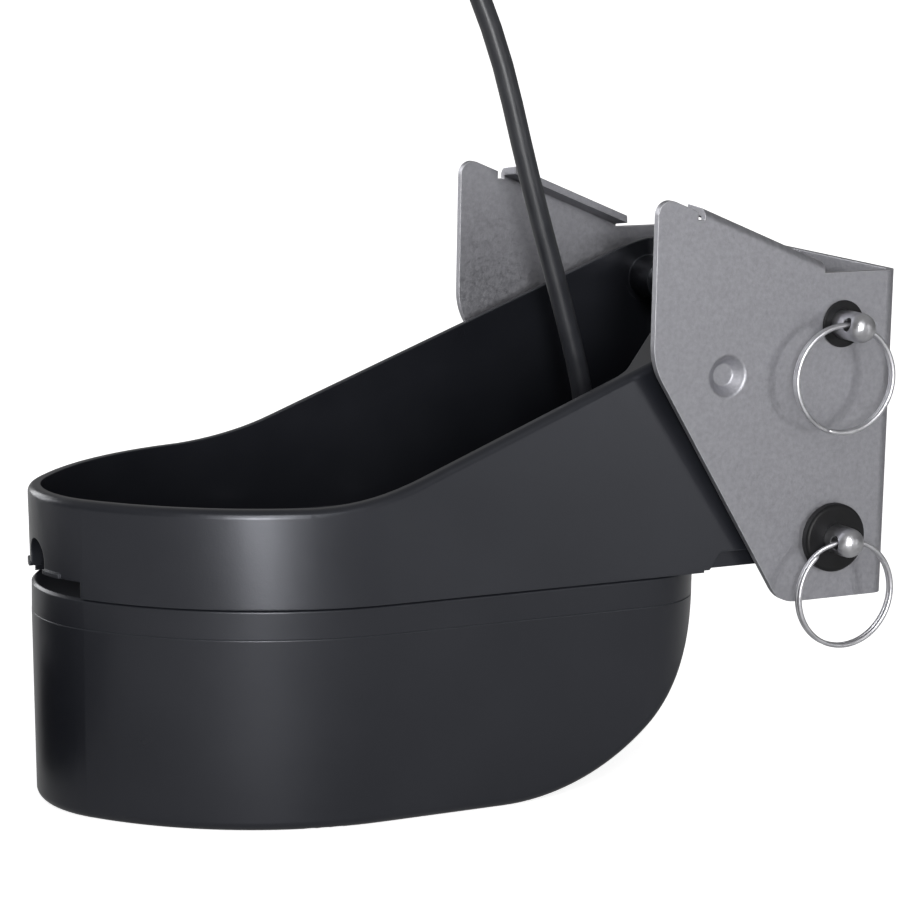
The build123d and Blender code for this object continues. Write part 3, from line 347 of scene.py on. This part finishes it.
# %% Turning marks: fine rings round a pin's axis
UPPER_PIN_AT = (0.1480, 0.1486)
LOWER_PIN_AT = (0.1471, 0.0790)
TURNING_PITCH = 0.0004
TURNING_SHARE = 0.3


def make_turning_group():
    """Height = sin(2 pi d / Pitch), d = distance from the Y axis through Centre X, Centre Z."""
    tree, given, result = open_group(
        "turning_marks",
        {"Centre X": UPPER_PIN_AT[0], "Centre Z": UPPER_PIN_AT[1], "Pitch": TURNING_PITCH},
        {"Height": "NodeSocketFloat"},
    )
    place = add_node(tree, "ShaderNodeTexCoord")
    parts = add_node(tree, "ShaderNodeSeparateXYZ")
    link(tree, place.outputs["Object"], parts.inputs[0])
    across = math_node(tree, "SUBTRACT", parts.outputs["X"], given.outputs["Centre X"])
    upwards = math_node(tree, "SUBTRACT", parts.outputs["Z"], given.outputs["Centre Z"])
    across_squared = math_node(tree, "POWER", across, 2.0)
    upwards_squared = math_node(tree, "POWER", upwards, 2.0)
    squares = math_node(tree, "ADD", across_squared, upwards_squared)
    distance = math_node(tree, "SQRT", squares)
    turns = math_node(tree, "DIVIDE", distance, given.outputs["Pitch"])
    wave = math_node(tree, "SINE", math_node(tree, "MULTIPLY", turns, 2.0 * np.pi))
    link(tree, wave, result.inputs["Height"])
    return tree


turning_group = make_turning_group()
print("group:", turning_group.name)


# %% Edges: a rounded normal, and a mask where the surface turns sharply
def make_edge_group():
    """Normal = rounded by Radius. Edge = Strength (1 - rounded normal . true normal), clamped."""
    # The Edge mask lightens edges in the finishes: partly wear, partly a painted highlight.
    tree, given, result = open_group(
        "edge_wear_and_painted_highlight",
        {"Radius": 0.0005, "Strength": 6.0},
        {"Normal": "NodeSocketVector", "Edge": "NodeSocketFloat"},
    )
    bevel = add_node(tree, "ShaderNodeBevel", samples=6)
    shape = add_node(tree, "ShaderNodeNewGeometry")
    agree = add_node(tree, "ShaderNodeVectorMath", operation="DOT_PRODUCT")
    link(tree, given.outputs["Radius"], bevel.inputs["Radius"])
    link(tree, bevel.outputs[0], agree.inputs[0])
    link(tree, shape.outputs["Normal"], agree.inputs[1])
    turned = math_node(tree, "SUBTRACT", 1.0, agree.outputs["Value"])
    mask = math_node(tree, "MULTIPLY", turned, given.outputs["Strength"], clamp=True)
    link(tree, bevel.outputs[0], result.inputs["Normal"])
    link(tree, mask, result.inputs["Edge"])
    return tree


edge_group = make_edge_group()
print("group:", edge_group.name)


# %% [markdown]
# ## Finishes
#
# A finish is one Principled shader with a base colour, a roughness and a bump. One function
# builds them all from a few numbers: how dark and how bright the colour runs with the blotches,
# how the roughness varies, how deep the grain is and how bright the edges get, partly as wear and
# partly as a painted highlight. Separate hand-built trees would allow more, but would hide that
# all these surfaces differ only in amounts.

# %% Colours: from the screen to the shader, and mixed
MIX_FIRST, MIX_SECOND, MIX_RESULT = 6, 7, 2


def srgb(red, green, blue):
    """Linear colour of an 8-bit screen colour: the usual two-part curve."""
    screen = np.array([red, green, blue]) / 255.0
    linear = np.where(screen <= 0.04045, screen / 12.92, ((screen + 0.055) / 1.055) ** 2.4)
    return (*[float(c) for c in linear], 1.0)


def blend_colours(tree, factor, first, second):
    """Mix two colours, each a socket or a plain colour; gives the result's socket."""
    mix = tree.nodes.new("ShaderNodeMix")
    mix.data_type = "RGBA"
    link(tree, factor, mix.inputs["Factor"])
    for socket, value in ((MIX_FIRST, first), (MIX_SECOND, second)):
        if isinstance(value, tuple):
            mix.inputs[socket].default_value = value
        else:
            link(tree, value, mix.inputs[socket])
    return mix.outputs[MIX_RESULT]


print("black moulding, linear:", [round(c, 4) for c in srgb(17, 18, 22)[:3]])


# %% One function for every finish
def make_finish(
    name,
    dark,
    light,
    rough=(0.35, 0.45),
    metallic=0.0,
    grain_scale=1500.0,
    grain_depth=0.00002,
    blotch_scale=30.0,
    edge_radius=0.0004,
    edge_wear_and_highlight_colour=None,
    drag=None,
    turning=None,
    coat=0.0,
    gloss_tint=(1.0, 1.0, 1.0, 1.0),
    gloss_level=0.5,
):
    """Blotches choose between dark and light and between both roughnesses; grain is the bump."""
    material = bpy.data.materials.new(name)
    material.use_nodes = True
    tree = material.node_tree
    tree.nodes.clear()
    shader = add_node(tree, "ShaderNodeBsdfPrincipled")
    shader.inputs["Metallic"].default_value = metallic
    shader.inputs["Coat Weight"].default_value = coat
    shader.inputs["Specular Tint"].default_value = gloss_tint
    shader.inputs["Specular IOR Level"].default_value = gloss_level
    out = add_node(tree, "ShaderNodeOutputMaterial")
    link(tree, shader.outputs[0], out.inputs[0])

    grain = tree.nodes.new("ShaderNodeGroup")
    grain.node_tree = grain_group
    grain.inputs["Grain Scale"].default_value = grain_scale
    grain.inputs["Blotch Scale"].default_value = blotch_scale
    edges = tree.nodes.new("ShaderNodeGroup")
    edges.node_tree = edge_group
    edges.inputs["Radius"].default_value = edge_radius

    colour = blend_colours(tree, grain.outputs["Blotch"], dark, light)
    # Edges take the edge colour: partly wear, partly a painted highlight where rims and plate
    # edges catch the light.
    if edge_wear_and_highlight_colour is not None:
        colour = blend_colours(tree, edges.outputs["Edge"], colour, edge_wear_and_highlight_colour)
    link(tree, colour, shader.inputs["Base Color"])

    gloss = add_node(tree, "ShaderNodeMapRange")
    gloss.inputs["To Min"].default_value = rough[0]
    gloss.inputs["To Max"].default_value = rough[1]
    link(tree, grain.outputs["Blotch"], gloss.inputs["Value"])
    link(tree, gloss.outputs[0], shader.inputs["Roughness"])

    height = grain.outputs["Height"]
    if drag is not None:
        marks = tree.nodes.new("ShaderNodeGroup")
        marks.node_tree = drag_group
        for label, value in drag.items():
            marks.inputs[label].default_value = value
        height = math_node(tree, "ADD", height, marks.outputs["Height"])
    if turning is not None:
        rings = tree.nodes.new("ShaderNodeGroup")
        rings.node_tree = turning_group
        for label, value in turning.items():
            rings.inputs[label].default_value = value
        shallow = math_node(tree, "MULTIPLY", rings.outputs["Height"], TURNING_SHARE)
        height = math_node(tree, "ADD", height, shallow)
    bump = add_node(tree, "ShaderNodeBump", Strength=1.0)
    bump.inputs["Distance"].default_value = grain_depth
    link(tree, height, bump.inputs["Height"])
    link(tree, edges.outputs["Normal"], bump.inputs["Normal"])
    link(tree, bump.outputs[0], shader.inputs["Normal"])
    return material


# %% Mix the finishes
COOL = (0.90, 0.92, 1.0, 1.0)


def turned_pin(name, pin_at):
    """Turned stainless whose fine rings are centred on one pin's axis."""
    return make_finish(
        name, srgb(172, 172, 175), srgb(200, 200, 203), (0.28, 0.38),
        metallic=1.0, grain_scale=900.0, grain_depth=0.00003, blotch_scale=300.0,
        edge_radius=0.0003, edge_wear_and_highlight_colour=srgb(205, 205, 207),
        turning={"Centre X": pin_at[0], "Centre Z": pin_at[1], "Pitch": TURNING_PITCH},
    )


finishes = {
    "housing": make_finish(
        "satin_black_moulding", srgb(17, 18, 22), srgb(22, 23, 27), (0.27, 0.32),
        grain_scale=900.0, grain_depth=0.00001, blotch_scale=14.0,
        edge_radius=0.0006, edge_wear_and_highlight_colour=srgb(40, 42, 46), gloss_tint=COOL,
    ),
    "fairing": make_finish(
        "fine_textured_black_moulding", srgb(18, 19, 23), srgb(24, 25, 29), (0.27, 0.32),
        grain_scale=1400.0, grain_depth=0.000015, blotch_scale=18.0,
        edge_radius=0.0006, edge_wear_and_highlight_colour=srgb(46, 48, 52), gloss_tint=COOL,
    ),
    "sheet": make_finish(
        "satin_stainless_sheet", srgb(149, 149, 154), srgb(162, 162, 167), (0.48, 0.56),
        metallic=1.0, grain_scale=1100.0, grain_depth=0.00006, blotch_scale=650.0,
        edge_radius=0.0004, edge_wear_and_highlight_colour=srgb(200, 200, 204),
    ),
    "turned": make_finish(
        "turned_stainless", srgb(150, 150, 152), srgb(172, 172, 174), (0.22, 0.32),
        metallic=1.0, grain_scale=2000.0, grain_depth=0.00001, blotch_scale=200.0,
        edge_radius=0.0003, edge_wear_and_highlight_colour=srgb(190, 190, 192),
    ),
    "upper_turned": turned_pin("upper_turned_stainless", UPPER_PIN_AT),
    "lower_turned": turned_pin("lower_turned_stainless", LOWER_PIN_AT),
    "spring": make_finish(
        "bright_spring_wire", srgb(186, 186, 190), srgb(208, 208, 211), (0.34, 0.44),
        metallic=1.0, grain_scale=1500.0, grain_depth=0.000005, blotch_scale=250.0,
        edge_radius=0.0001,
    ),
    "nylon": make_finish(
        "black_nylon", srgb(12, 12, 13), srgb(19, 19, 21), (0.42, 0.54),
        grain_scale=2200.0, grain_depth=0.00002, blotch_scale=120.0,
        edge_radius=0.0003, edge_wear_and_highlight_colour=srgb(34, 34, 36), gloss_level=0.22,
    ),
    "jacket": make_finish(
        "cable_jacket", srgb(31, 32, 36), srgb(39, 40, 44), (0.32, 0.42),
        grain_scale=1800.0, grain_depth=0.00002, blotch_scale=90.0, edge_radius=0.0001,
    ),
    "seal": make_finish(
        "soft_black_rubber", srgb(16, 16, 17), srgb(24, 24, 25), (0.55, 0.68),
        grain_scale=1600.0, grain_depth=0.00004, blotch_scale=80.0, edge_radius=0.0003,
    ),
    "strap": make_finish(
        "woven_strap", srgb(18, 18, 19), srgb(30, 30, 32), (0.7, 0.85),
        grain_scale=1200.0, grain_depth=0.0002, blotch_scale=500.0, edge_radius=0.0002,
        drag={"Scale": 900.0, "Along X": 1.0, "Along Y": 1.0, "Along Z": 0.3},
    ),
    "brass": make_finish(
        "plated_contact", srgb(190, 150, 80), srgb(214, 178, 106), (0.16, 0.26),
        metallic=1.0, grain_scale=3000.0, grain_depth=0.000005, blotch_scale=300.0,
        edge_radius=0.0001,
    ),
    "ceramic": make_finish(
        "fired_ceramic", srgb(176, 168, 146), srgb(198, 190, 168), (0.5, 0.65),
        grain_scale=1200.0, grain_depth=0.00003, blotch_scale=50.0, edge_radius=0.0004,
    ),
    "cork": make_finish(
        "cork_sheet", srgb(122, 90, 62), srgb(176, 138, 98), (0.7, 0.85),
        grain_scale=600.0, grain_depth=0.0001, blotch_scale=400.0, edge_radius=0.0003,
    ),
    "resin": make_finish(
        "cast_resin", srgb(84, 72, 56), srgb(104, 90, 70), (0.18, 0.3),
        grain_scale=500.0, grain_depth=0.00001, blotch_scale=20.0, edge_radius=0.0004, coat=0.4,
    ),
    "matching": make_finish(
        "filled_epoxy", srgb(140, 142, 142), srgb(160, 162, 162), (0.5, 0.6),
        grain_scale=1800.0, grain_depth=0.00002, blotch_scale=60.0, edge_radius=0.0003,
    ),
    "board": make_finish(
        "green_board", srgb(28, 92, 52), srgb(38, 112, 64), (0.25, 0.35),
        grain_scale=2500.0, grain_depth=0.00001, blotch_scale=90.0, edge_radius=0.0002,
    ),
    "ferrite": make_finish(
        "ferrite_core", srgb(60, 60, 63), srgb(78, 78, 82), (0.45, 0.6),
        grain_scale=1500.0, grain_depth=0.00003, blotch_scale=120.0, edge_radius=0.0004,
    ),
    "lead": make_finish(
        "red_insulation", srgb(150, 30, 26), srgb(176, 44, 36), (0.35, 0.45),
        grain_scale=2500.0, grain_depth=0.00001, blotch_scale=200.0, edge_radius=0.0001,
    ),
}
print("finishes:", len(finishes))

# %% [markdown]
# ## Dress the frame's own pieces
#
# On the real object each piece is of one material: moulded plastic, folded sheet, turned steel,
# nylon, rubber. Their meshes could be rebuilt with finer detail, but the frame's shapes are right
# as they come, so only their material slots change. One table says which piece wears which
# finish, the hidden pieces too, so that they look right when somebody takes the part to pieces.

# %% Dress them from a table
WEARS = {
    "lower_housing": "housing",
    "housing_lid": "housing",
    "upper_fairing": "fairing",
    "mounting_bracket": "sheet",
    "upper_pin": "upper_turned",
    "lower_pin": "lower_turned",
    "upper_bushings": "nylon",
    "lower_bushings": "nylon",
    "lid_screws": "turned",
    "temperature_sensor": "turned",
    "cable_gland_body": "nylon",
    "gland_nut": "nylon",
    "gland_seal": "seal",
    "cable_gland_end": "jacket",
    "connector_body": "nylon",
    "connector_coupling": "nylon",
    "connector_boot": "seal",
    "connector_pins": "brass",
    "coil_ties": "strap",
    "ceramic_elements": "ceramic",
    "element_backing": "cork",
    "potting_compound": "resin",
    "matching_layer": "matching",
    "terminal_board": "board",
    "matching_transformer": "ferrite",
    "signal_leads": "lead",
}


def dress(piece, finish):
    """Put one finish in all of a piece's material slots."""
    mesh = piece.data
    if not mesh.materials:
        mesh.materials.append(finish)
    for slot in range(len(mesh.materials)):
        mesh.materials[slot] = finish


for node_name, finish_name in WEARS.items():
    dress(nodes[node_name], finishes[finish_name])
print("dressed nodes:", len(WEARS))

# %% [markdown]
# ## Surfaces from arrays
#
# Two new pieces are more than a solid model's simple turned forms: the wire of a split ring, and
# a ribbed strain relief. They could be curves with a bevel, or profiles turned by a modifier. A
# grid is used instead: one parameter runs along the piece and the other round its section, and
# numpy works out all the points at once from a formula.

# %% Turn a grid of points into a mesh
def grid_mesh(name, points, closed_u, closed_v, cap=False):
    """Mesh of a grid points[u, v, xyz]; closed directions join their ends, caps fill open ends.

    Each quad goes round along v first and then along u, so it faces (dP/dv) x (dP/du), and the
    caps go round the other way along the edge that they share with a quad.
    """
    rows, columns = points.shape[:2]
    index = np.arange(rows * columns).reshape(rows, columns)
    if closed_u:
        index = np.vstack([index, index[:1]])
    if closed_v:
        index = np.hstack([index, index[:, :1]])
    quads = np.stack(
        [index[:-1, :-1], index[:-1, 1:], index[1:, 1:], index[1:, :-1]], axis=-1
    ).reshape(-1, 4)
    faces = quads.tolist()
    if cap:
        faces.append(list(range(columns - 1, -1, -1)))
        faces.append([(rows - 1) * columns + k for k in range(columns)])
    mesh = bpy.data.meshes.new(name)
    mesh.from_pydata(points.reshape(-1, 3).tolist(), [], faces)
    mesh.update()
    return mesh


def add_piece(name, mesh, body, finish):
    """Object for a mesh: smooth faces, one finish, riding on a body."""
    piece = bpy.data.objects.new(name, mesh)
    bpy.context.scene.collection.objects.link(piece)
    mesh.polygons.foreach_set("use_smooth", [True] * len(mesh.polygons))
    dress(piece, finish)
    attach(piece, body)
    return piece


# %% [markdown]
# ## The split rings
#
# A split ring is one spring wire wound twice, so that both coils lie side by side. At one place
# the wire steps across from the first coil to the second, and the two cut ends stop on either
# side of that step. Two closed hoops would look right from afar, but the step and the ends show
# in the photograph close to the pin. The wire is therefore one bar on a line that winds twice.

# %% Wind the split rings
RING_MEAN_RADIUS = 17.2 * MM
WIRE_RADIUS = 0.75 * MM
RING_PITCH = 1.4 * MM
RING_SEAT_RISE = 0.35 * MM
CROSS_HOLE_Y = -76.9 * MM
STEP_DEG = 34.0
END_ROWS = 3.0
END_LEAST = 0.02


def split_ring_points(end_deg, along=300, around=14):
    """Wire on P(t) = (R cos t, h(t), R sin t), t over two turns less a gap, h stepping once.

    h(t) = pitch (smoothstep((t - 2 pi + w) / w) - 1/2) with w the step's angle. The section is
    r (cos v) outwards and r (sin v) along Y. Over the END_ROWS rows at each cut end, r falls as
    WIRE_RADIUS sqrt(1 - (1 - row / END_ROWS)^2), the root held above sqrt(END_LEAST), which
    rounds the end and leaves a small flat for the cap.
    """
    width = np.radians(STEP_DEG)
    t = np.linspace(0.0, 4.0 * np.pi - width, along)
    cross = np.clip((t - 2.0 * np.pi + width) / width, 0.0, 1.0)
    height = RING_PITCH * (cross * cross * (3.0 - 2.0 * cross) - 0.5)
    to_end = np.minimum(np.arange(along), np.arange(along)[::-1]) / END_ROWS
    round_end = 1.0 - (1.0 - np.minimum(to_end, 1.0)) ** 2
    radius = WIRE_RADIUS * np.sqrt(np.clip(round_end, END_LEAST, 1.0))
    v = np.linspace(0.0, 2.0 * np.pi, around, endpoint=False)
    angle = t + np.radians(end_deg)
    out = RING_MEAN_RADIUS + radius[:, None] * np.cos(v)
    y = height[:, None] + radius[:, None] * np.sin(v)
    return np.stack([out * np.cos(angle)[:, None], y, out * np.sin(angle)[:, None]], axis=-1)


def hang_ring(points, pin_at, turn_deg, yaw_deg):
    """Points of a ring moved into the cross hole: lowered, yawed about Z, then turned about Y."""
    yaw, turn = np.radians(yaw_deg), np.radians(turn_deg)
    lowered = points + np.array([0.0, 0.0, RING_SEAT_RISE - RING_MEAN_RADIUS])
    about_z = np.array(
        [[np.cos(yaw), -np.sin(yaw), 0.0], [np.sin(yaw), np.cos(yaw), 0.0], [0.0, 0.0, 1.0]]
    )
    about_y = np.array(
        [[np.cos(turn), 0.0, np.sin(turn)], [0.0, 1.0, 0.0], [-np.sin(turn), 0.0, np.cos(turn)]]
    )
    return lowered @ about_z.T @ about_y.T + np.array([pin_at[0], CROSS_HOLE_Y, pin_at[1]])


# Node, body, the pin's x and z, then in degrees: turn about Y, yaw about Z, place of the cut ends.
RINGS = [
    ("upper_ring", "upper_split_ring", UPPER_PIN_AT, 15.0, -5.0, 265.0),
    ("lower_ring", "lower_split_ring", LOWER_PIN_AT, 0.0, -2.0, 128.0),
]
for node_name, body, pin_at, turn_deg, yaw_deg, end_deg in RINGS:
    points = hang_ring(split_ring_points(end_deg), pin_at, turn_deg, yaw_deg)
    mesh = grid_mesh(node_name + "_wire", points, False, True, cap=True)
    ring = add_piece(node_name + "_wire", mesh, body, finishes["spring"])
    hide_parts(node_name)
    print(node_name, "vertices:", len(mesh.vertices))

# %% [markdown]
# ## The strain relief
#
# The boot on top of the gland keeps the cable from kinking. A real one is moulded rubber: it
# tapers, and grooves cut round it let it flex. A plain cone would do as an outline; here the
# radius follows a taper with rounded grooves, and the surface goes down the bore's mouth as well.

# %% Turn the ribbed strain relief
CABLE_X = 93.5 * MM
BOOT_BASE_Z = 87.8 * MM
BOOT_HEIGHT = 13.5 * MM
BOOT_RADIUS = 6.2 * MM
BOOT_TIP_RADIUS = 4.4 * MM
BOOT_BORE_RADIUS = 3.52 * MM
BOOT_GROOVES = 4
GROOVE_DEPTH = 0.6 * MM
GROOVES_FROM = 0.08
GROOVES_SPAN = 0.84
RIM_ROWS = 9


def boot_points(along=160, around=64):
    """Radius = taper(s) - depth sin^4(pi n g), with s = 0..1 up the boot and n grooves.

    g = (s - GROOVES_FROM) / GROOVES_SPAN, held to 0..1. After that the rows turn over the rim on a
    half circle and go back down the bore to the base, where the last row joins the first.
    """
    s = np.linspace(0.0, 1.0, along)
    grooved = np.clip((s - GROOVES_FROM) / GROOVES_SPAN, 0.0, 1.0)
    groove = np.sin(np.pi * BOOT_GROOVES * grooved) ** 4
    radius = BOOT_RADIUS + (BOOT_TIP_RADIUS - BOOT_RADIUS) * s - GROOVE_DEPTH * groove
    rim = np.linspace(0.0, np.pi, RIM_ROWS)[1:]
    middle = (radius[-1] + BOOT_BORE_RADIUS) / 2
    half = (radius[-1] - BOOT_BORE_RADIUS) / 2
    rim_radius = middle + half * np.cos(rim)
    rim_height = BOOT_HEIGHT - half + half * np.sin(rim)
    body_height = s * (BOOT_HEIGHT - half)
    r = np.concatenate([radius, rim_radius, [BOOT_BORE_RADIUS]])
    h = np.concatenate([body_height, rim_height, [0.0]])
    v = np.linspace(0.0, 2.0 * np.pi, around, endpoint=False)
    x = CABLE_X + r[:, None] * np.cos(v)
    y = r[:, None] * np.sin(v)
    z = np.broadcast_to(BOOT_BASE_Z + h[:, None], x.shape)
    return np.stack([x, y, z], axis=-1)


boot_mesh = grid_mesh("strain_relief_boot", boot_points(), True, True)
boot = add_piece("strain_relief_boot", boot_mesh, "transducer", finishes["seal"])
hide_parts("strain_relief")
print("boot vertices:", len(boot_mesh.vertices))

# %% [markdown]
# ## The cable
#
# The cable is ten metres of 7 mm rubber-jacketed lead. It leaves the gland on the bucket's floor,
# leans aft as it rises out of the picture, arches over, and comes down to a neat coil on the
# floor, out of the camera's view. A physics run could drop it there, but a tied coil is wound by
# hand, turn beside turn, and doesn't fall so. It is drawn as one smooth spline instead: a
# listed route, then the coil's turns, layer by layer, then a short tail to the plug.

# %% Set the cable's sizes and route
CABLE_RADIUS = 3.5 * MM
# From here to the coil's slack, lengths are in millimetres.
CABLE_ROUTE = [
    (93.5, 0.0, 101.3),
    (93.5, 0.0, 113.4),
    (84.9, 0.2, 144.0),
    (70.2, 0.8, 190.0),
    (57.5, 3.0, 240.0),
    (35.0, 9.0, 286.0),
    (-6.0, 19.0, 316.0),
    (-54.0, 30.0, 321.0),
    (-98.0, 42.0, 299.0),
    (-126.0, 55.0, 256.0),
    (-137.0, 66.0, 201.0),
    (-141.0, 75.0, 149.0),
    (-147.0, 82.0, 104.0),
    (-160.0, 86.5, 70.0),
    (-182.2, 89.6, 50.0),
    (-204.8, 85.4, 41.5),
    (-222.8, 73.4, 37.0),
    (-233.5, 56.1, 33.6),
]
TAIL_ROUTE = [
    (-256.2, 51.2, 5.1),
    (-260.2, 29.0, 5.2),
    (-259.8, 6.0, 5.8),
    (-256.0, -16.0, 7.4),
]
COIL_CENTRE = (-192.0, 34.0)
COIL_START_DEG = 152.0
COIL_PITCH = 7.0
COIL_INNER_RADIUS = 38.5
COIL_FLOOR_Z = 5.1
COIL_LAYERS = [(4, 1, 4), (3, 5, 0), (2, 0, 5), (1, 5, 0), (0, 1, 4)]
POINTS_PER_TURN = 16
STEP_SHARE = 0.2
SLACK = 0.35
SLACK_WAVES = 2.3
SLACK_SHIFT = 0.7
print("route points:", len(CABLE_ROUTE) + len(TAIL_ROUTE))


# %% Work out the coil's turns
def coil_turns():
    """Radius and height of each turn, from the top layer down, each layer laid back and forth."""
    turns = []
    for layer, first, last in COIL_LAYERS:
        step = 1 if last >= first else -1
        for column in range(first, last + step, step):
            radius = COIL_INNER_RADIUS + COIL_PITCH * column
            turns.append((radius, COIL_FLOOR_Z + COIL_PITCH * layer))
    return np.array(turns)


def coil_points():
    """Points on a stepped spiral: each turn keeps its radius and height, then eases to the next.

    The radius wavers by SLACK sin(SLACK_WAVES angle + SLACK_SHIFT turn). It is stretched by
    1 / cos(pi / POINTS_PER_TURN), because the spline runs inside its points by that much.
    """
    turns = coil_turns()
    first = np.radians(COIL_START_DEG + 360.0 / POINTS_PER_TURN)
    count = len(turns) * POINTS_PER_TURN
    angle = first + np.arange(count) * 2.0 * np.pi / POINTS_PER_TURN
    whole = np.arange(count) // POINTS_PER_TURN
    part = (np.arange(count) % POINTS_PER_TURN) / POINTS_PER_TURN
    ease = np.clip((part - 1.0 + STEP_SHARE) / STEP_SHARE, 0.0, 1.0)
    ease = ease * ease * (3.0 - 2.0 * ease)
    following = turns[np.minimum(whole + 1, len(turns) - 1)]
    here = turns[whole] * (1.0 - ease[:, None]) + following * ease[:, None]
    slack = SLACK * np.sin(SLACK_WAVES * angle + SLACK_SHIFT * whole)
    stretch = 1.0 / np.cos(np.pi / POINTS_PER_TURN)
    x = COIL_CENTRE[0] + (here[:, 0] + slack) * stretch * np.cos(angle)
    y = COIL_CENTRE[1] + (here[:, 0] + slack) * stretch * np.sin(angle)
    return np.column_stack([x, y, here[:, 1]])


coil = coil_points()
print("turns in the coil:", len(coil_turns()))


# %% Draw the cable as one spline
def make_cable():
    """NURBS curve of order 3 through the route, the coil and the tail, with a round bevel."""
    points = np.vstack([CABLE_ROUTE, coil, TAIL_ROUTE]) * MM
    curve = bpy.data.curves.new("cable_jacket", "CURVE")
    curve.dimensions = "3D"
    curve.bevel_depth = CABLE_RADIUS
    curve.bevel_resolution = 3
    curve.resolution_u = 4
    curve.use_fill_caps = True
    spline = curve.splines.new("NURBS")
    spline.points.add(len(points) - 1)
    spline.points.foreach_set("co", np.column_stack([points, np.ones(len(points))]).ravel())
    spline.order_u = 3
    spline.use_endpoint_u = True
    spline.use_smooth = True
    cable = bpy.data.objects.new("supply_cable", curve)
    bpy.context.scene.collection.objects.link(cable)
    curve.materials.append(finishes["jacket"])
    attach(cable, "transducer")
    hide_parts("cable", "cable_coil", "cable_tail")
    return cable


def curve_length(curve_object):
    """Length of a curve's own line, read from its mesh without the bevel."""
    bare = curve_object.copy()
    bare.data = curve_object.data.copy()
    bare.data.bevel_depth = 0.0
    mesh = bpy.data.meshes.new_from_object(bare)
    line = np.empty(3 * len(mesh.vertices))
    mesh.vertices.foreach_get("co", line)
    bpy.data.meshes.remove(mesh)
    bpy.data.curves.remove(bare.data)
    return float(np.linalg.norm(np.diff(line.reshape(-1, 3), axis=0), axis=1).sum())


cable = make_cable()
cable_length = curve_length(cable)
print("cable length in m:", round(cable_length, 3))

# %% [markdown]
# ## The view transform
#
# The last step sets the view transform to Standard.

# %% Set the view transform
bpy.context.scene.view_settings.view_transform = "Standard"
